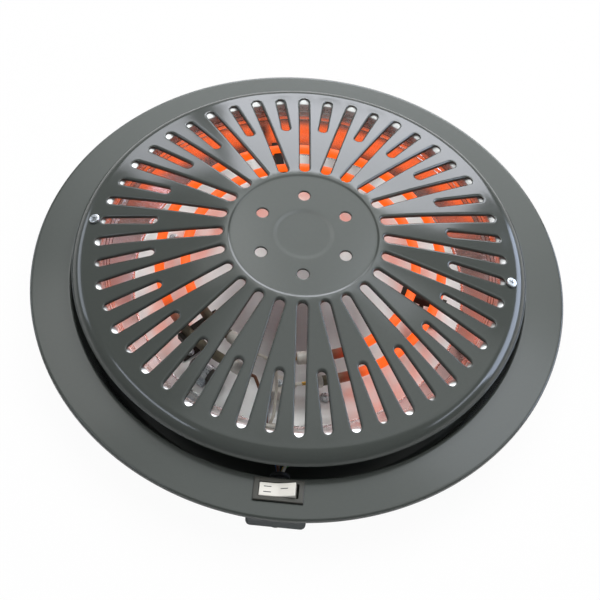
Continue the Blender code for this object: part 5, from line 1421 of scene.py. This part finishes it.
routes = {
    "brown": (pin_tip("outer", "left") + through_pan_bush(3.0 * QUARTER) + through_box_bush(3.0 * QUARTER)
              + [brown_end + straight, brown_end], BROWN_LEAD, "brown_insulation", "wire_brown"),
    "white": (pin_tip("inner", "left") + [between] + through_pan_bush(QUARTER) + through_box_bush(QUARTER)
              + [blade_spot + straight, blade_spot], SLEEVE, "white_sleeve", "wire_white_sleeved"),
    "inner_link": (pin_tip("inner", "right") + block_port(-1.0, PORT)[::-1], SLEEVE, "white_sleeve",
                   "wire_inner_link"),
    "outer_link": (pin_tip("outer", "right") + block_port(1.0, PORT)[::-1], SLEEVE, "white_sleeve",
                   "wire_outer_link"),
    "blue": (block_port(1.0, -PORT) + through_pan_bush(-3.0 * QUARTER) + through_box_bush(-3.0 * QUARTER)
             + [blue_end + straight, blue_end], BLUE_LEAD, "blue_insulation", "wire_blue"),
    "earth": ([earth_start, earth_lift] + through_box_bush(-QUARTER)
              + [connector_spot + straight, connector_spot], EARTH_LEAD, "earth_insulation", "wire_earth"),
}
for lead, (guides, finish, slot, node) in routes.items():
    wire = sweep(f"lead_{lead}", smooth_route(guides), WIRE_RADIUS, 16, finish)
    fit(wire, nodes=[node])
print("leads:", ", ".join(routes))

# %% [markdown]
# ## Thermal cut-out
# A black capsule lies on the pan floor under a sheet clip, and switches the heater off if
# it overheats. Its ends are rounded and it has a moulded band.

# %% Thermal cut-out
CUTOUT_RADIUS = 0.0048
CUTOUT_HALF = 0.013
cutout = turned("cutout_capsule", rounded([
    (0.0, CUTOUT_HALF, 0.0), (CUTOUT_RADIUS, CUTOUT_HALF, 0.0012), (CUTOUT_RADIUS, 0.0088, 0.0002),
    (CUTOUT_RADIUS - 0.0004, 0.0086, 0.0002), (CUTOUT_RADIUS - 0.0004, 0.0076, 0.0002),
    (CUTOUT_RADIUS, 0.0074, 0.0002), (CUTOUT_RADIUS, -CUTOUT_HALF, 0.0012), (0.0, -CUTOUT_HALF, 0.0)],
    steps=3), ROUND_SIDES)
cutout.data.transform(Matrix.Rotation(math.pi / 2.0, 4, "X"))
stand(cutout, PAN_FLOOR_RADIUS - 0.0164, math.radians(237.0), PAN_FLOOR + 2.0 * GAP + CUTOUT_RADIUS)
fit(cutout, finish=DARK_PLASTIC, nodes=["thermal_cutout"])
print("cut-out box:", tuple(round(v, 4) for v in cutout.bound_box[0]))

# %% [markdown]
# ## Pieces kept from the CAD model
# Brackets, nuts, clip, blades, connector, earth ring and terminal block are simple shapes
# that the CAD model already has right. They only take a finish.

# %% Finishes for the CAD pieces that stay
kept = {
    "element_bracket_1": BLACK_STEEL, "element_bracket_2": BLACK_STEEL, "element_bracket_3": BLACK_STEEL,
    "grille_nut_left": ZINC, "grille_nut_right": ZINC, "cutout_clip": ZINC, "terminal_block": STEATITE,
    "switch_blade_1": BRASS, "switch_blade_2": BRASS, "switch_blade_3": BRASS,
    "mains_connector": ROCKER_WHITE, "earth_terminal": BRASS,
}
for node, finish in kept.items():
    for material_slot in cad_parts[node].material_slots:
        material_slot.material = finish
print("CAD pieces kept:", len(kept))

# %% [markdown]
# ## Floor, light and camera
# The heater stands on a plain white floor. Glossy enamel shows its room, so the room is laid
# out for what each face mirrors. A large white card low behind the heater is mirrored by
# the far bars, with a dimmer one to its left. Above the card the light fades out up to the
# ceiling, which the level hub and flange mirror. Two faint cards stand higher up, on either
# side. Bluish cards on the right and left, and two thin strips nearer the viewer, draw the
# bright lines along the crest, and the rest of the room in front stays dark.

# %% Floor and world
floor_shape = bmesh.new()
bmesh.ops.create_grid(floor_shape, x_segments=1, y_segments=1, size=6.0)
floor = as_object("floor", floor_shape)
FLOOR, floor_tree, floor_shader = new_finish("pale_floor", "#F4F4F4", 0.9)
floor_shader.inputs["Specular IOR Level"].default_value = 0.0
floor_eye = add(floor_tree, "ShaderNodeLightPath")
floor_glow = add(floor_tree, "ShaderNodeEmission", {"Color": linear("#FFFFFF"),
                                                    "Strength": floor_eye.outputs["Is Camera Ray"]})
floor_veil = add(floor_tree, "ShaderNodeMixShader",
                 {0: 0.96, 1: floor_shader.outputs[0], 2: floor_glow.outputs[0]})
floor_pick = add(floor_tree, "ShaderNodeMixShader", {0: floor_eye.outputs["Is Camera Ray"],
                                                     1: floor_shader.outputs[0], 2: floor_veil.outputs[0]})
floor_tree.links.new(floor_pick.outputs[0], floor_tree.nodes["Material Output"].inputs["Surface"])
floor.data.materials.append(FLOOR)

ROOM_STRENGTH = 0.28

world = bpy.data.worlds.new("pale_room")
bpy.context.scene.world = world
world.use_nodes = True
world_tree = world.node_tree
room = world_tree.nodes["Background"]
room.inputs["Color"].default_value = linear("#E8EBEE")
room.inputs["Strength"].default_value = ROOM_STRENGTH
backdrop = add(world_tree, "ShaderNodeBackground", {"Color": linear("#FFFFFF"), "Strength": 1.0})
room_aim = add(world_tree, "ShaderNodeTexCoord")
aim_parts = add(world_tree, "ShaderNodeSeparateXYZ", {0: room_aim.outputs["Generated"]})
across, onwards, upwards = aim_parts.outputs
ahead = add(world_tree, "ShaderNodeMath", {0: onwards, 1: 0.05}, operation="MAXIMUM").outputs[0]
climb = add(world_tree, "ShaderNodeMath", {0: upwards, 1: ahead}, operation="DIVIDE").outputs[0]
sideways = add(world_tree, "ShaderNodeMath", {0: across, 1: ahead}, operation="DIVIDE").outputs[0]
off_middle = add(world_tree, "ShaderNodeMath", {0: sideways, 1: 0.06}, operation="SUBTRACT").outputs[0]
aside = add(world_tree, "ShaderNodeMath", {0: off_middle}, operation="ABSOLUTE").outputs[0]
leaning = add(world_tree, "ShaderNodeMath", {0: across, 1: 0.25, 2: upwards},
              operation="MULTIPLY_ADD").outputs[0]
# Each row is a soft step: the value, where it starts and ends, the strength before and after.
soft_steps = []
for value, start, end, low, high in (
        (climb, 0.95, 2.3, 2.7, 0.0), (aside, 0.22, 0.62, 1.0, 0.0), (upwards, 0.50, 0.62, 0.0, 1.0),
        (leaning, 0.84, 0.91, 0.0, 1.1), (onwards, -0.26, -0.04, 0.0, 1.0)):
    soft_steps.append(add(world_tree, "ShaderNodeMapRange", {
        "Value": value, "From Min": start, "From Max": end, "To Min": low, "To Max": high},
        interpolation_type="SMOOTHSTEP").outputs[0])
wall_height, wall_width, above_floor, ceiling_start, ceiling_depth = soft_steps
wall_light = add(world_tree, "ShaderNodeMath", {0: wall_height, 1: wall_width}, operation="MULTIPLY")
wall_seen = add(world_tree, "ShaderNodeMath", {0: wall_light.outputs[0], 1: above_floor},
                operation="MULTIPLY")
wall_and_ceiling = add(world_tree, "ShaderNodeMath",
                       {0: ceiling_start, 1: ceiling_depth, 2: wall_seen.outputs[0]},
                       operation="MULTIPLY_ADD")
room_light = add(world_tree, "ShaderNodeMath", {0: wall_and_ceiling.outputs[0], 1: ROOM_STRENGTH},
                 operation="ADD").outputs[0]
mirrored = add(world_tree, "ShaderNodeBackground", {"Color": linear("#F0F6F6"), "Strength": room_light})
eye = add(world_tree, "ShaderNodeLightPath")
for_mirrors = add(world_tree, "ShaderNodeMixShader", {0: eye.outputs["Is Glossy Ray"], 1: room.outputs[0],
                                                      2: mirrored.outputs[0]})
for_eye = add(world_tree, "ShaderNodeMixShader", {0: eye.outputs["Is Camera Ray"], 1: for_mirrors.outputs[0],
                                                  2: backdrop.outputs[0]})
world_tree.links.new(for_eye.outputs[0], world_tree.nodes["World Output"].inputs["Surface"])
print("world:", world.name)

# %% [markdown]
# The cards light nothing but reflections. One broad soft lamp overhead gives the plain
# light, and reflections don't show it.

# %% Lamps
def softbox(name, azimuth, elevation, distance, width, height, radiance, colour="#FFFFFF"):
    """An area lamp that looks at the object, its strength given as the light it shows."""
    lamp = bpy.data.lights.new(name, "AREA")
    lamp.shape = "RECTANGLE"
    lamp.size = width
    lamp.size_y = height
    lamp.energy = radiance * math.pi * width * height
    lamp.color = linear(colour)[:3]
    holder = bpy.data.objects.new(name, lamp)
    level_reach = distance * math.cos(math.radians(elevation))
    spot = polar(level_reach, math.radians(azimuth), distance * math.sin(math.radians(elevation)))
    holder.location = spot
    holder.rotation_euler = (-spot).to_track_quat("-Z", "Y").to_euler()
    bpy.context.scene.collection.objects.link(holder)
    return holder


key = softbox("overhead_softbox", 75.0, 72.0, 2.3, 2.2, 2.0, 4.1)
key.visible_glossy = False
cards = [
    softbox("back_card", 81.5, 27.5, 2.0, 1.62, 0.92, 6.2, "#F4F6FF"),
    softbox("back_left_card", 117.0, 25.0, 2.0, 0.46, 0.5, 4.2, "#F4F6FF"),
    softbox("high_left_card", 115.0, 60.0, 2.0, 0.80, 0.4, 1.3),
    softbox("high_right_card", 59.0, 61.0, 2.0, 0.90, 0.4, 1.6, "#EEF3FF"),
    softbox("right_card", 22.0, 19.0, 2.0, 1.8, 0.82, 6.5, "#D6E4FF"),
    softbox("front_right_strip", -15.0, 28.0, 2.0, 0.9, 0.22, 4.5, "#E6EEFF"),
    softbox("left_card", 158.0, 18.0, 2.0, 1.2, 0.5, 3.2, "#E6EEFF"),
    softbox("front_left_strip", 208.0, 45.0, 2.0, 1.15, 0.22, 5.0, "#E6EEFF"),
]
for card in cards:
    card.visible_diffuse = False
print("lamps:", 1 + len(cards))

# %% [markdown]
# The camera was fitted to the round edges of flange, mouth, lip and crest. Its aim, roll,
# distance and focal length in pixels of a 600 pixel picture are given below.

# %% Camera
VIEW_ELEVATION = math.radians(56.70)
VIEW_ROLL = math.radians(6.313)
VIEW_TURN = math.radians(-0.75)
VIEW_DISTANCE = 0.819
VIEW_FOCUS = 1134.2
PHOTO_WIDTH = 600.0

target = Vector((0.0025, -0.0259, 0.040))
forward = Vector((0.0, math.cos(VIEW_ELEVATION), -math.sin(VIEW_ELEVATION)))
level_right = Vector((1.0, 0.0, 0.0))
level_up = level_right.cross(forward)
right = level_right * math.cos(VIEW_ROLL) + level_up * math.sin(VIEW_ROLL)
up = right.cross(forward)
turn_back = Matrix.Rotation(VIEW_TURN, 4, "Z")
camera_data = bpy.data.cameras.new("photo_camera")
camera_data.sensor_fit = "HORIZONTAL"
camera_data.sensor_width = 36.0
camera_data.lens = VIEW_FOCUS * camera_data.sensor_width / PHOTO_WIDTH
camera = bpy.data.objects.new("photo_camera", camera_data)
bpy.context.scene.collection.objects.link(camera)
axes = Matrix((right, up, -forward)).transposed().to_4x4()
camera.matrix_world = turn_back @ Matrix.Translation(target - forward * VIEW_DISTANCE) @ axes
bpy.context.scene.camera = camera
bpy.context.scene.view_settings.view_transform = "Standard"
print("camera lens in mm:", round(camera_data.lens, 2))
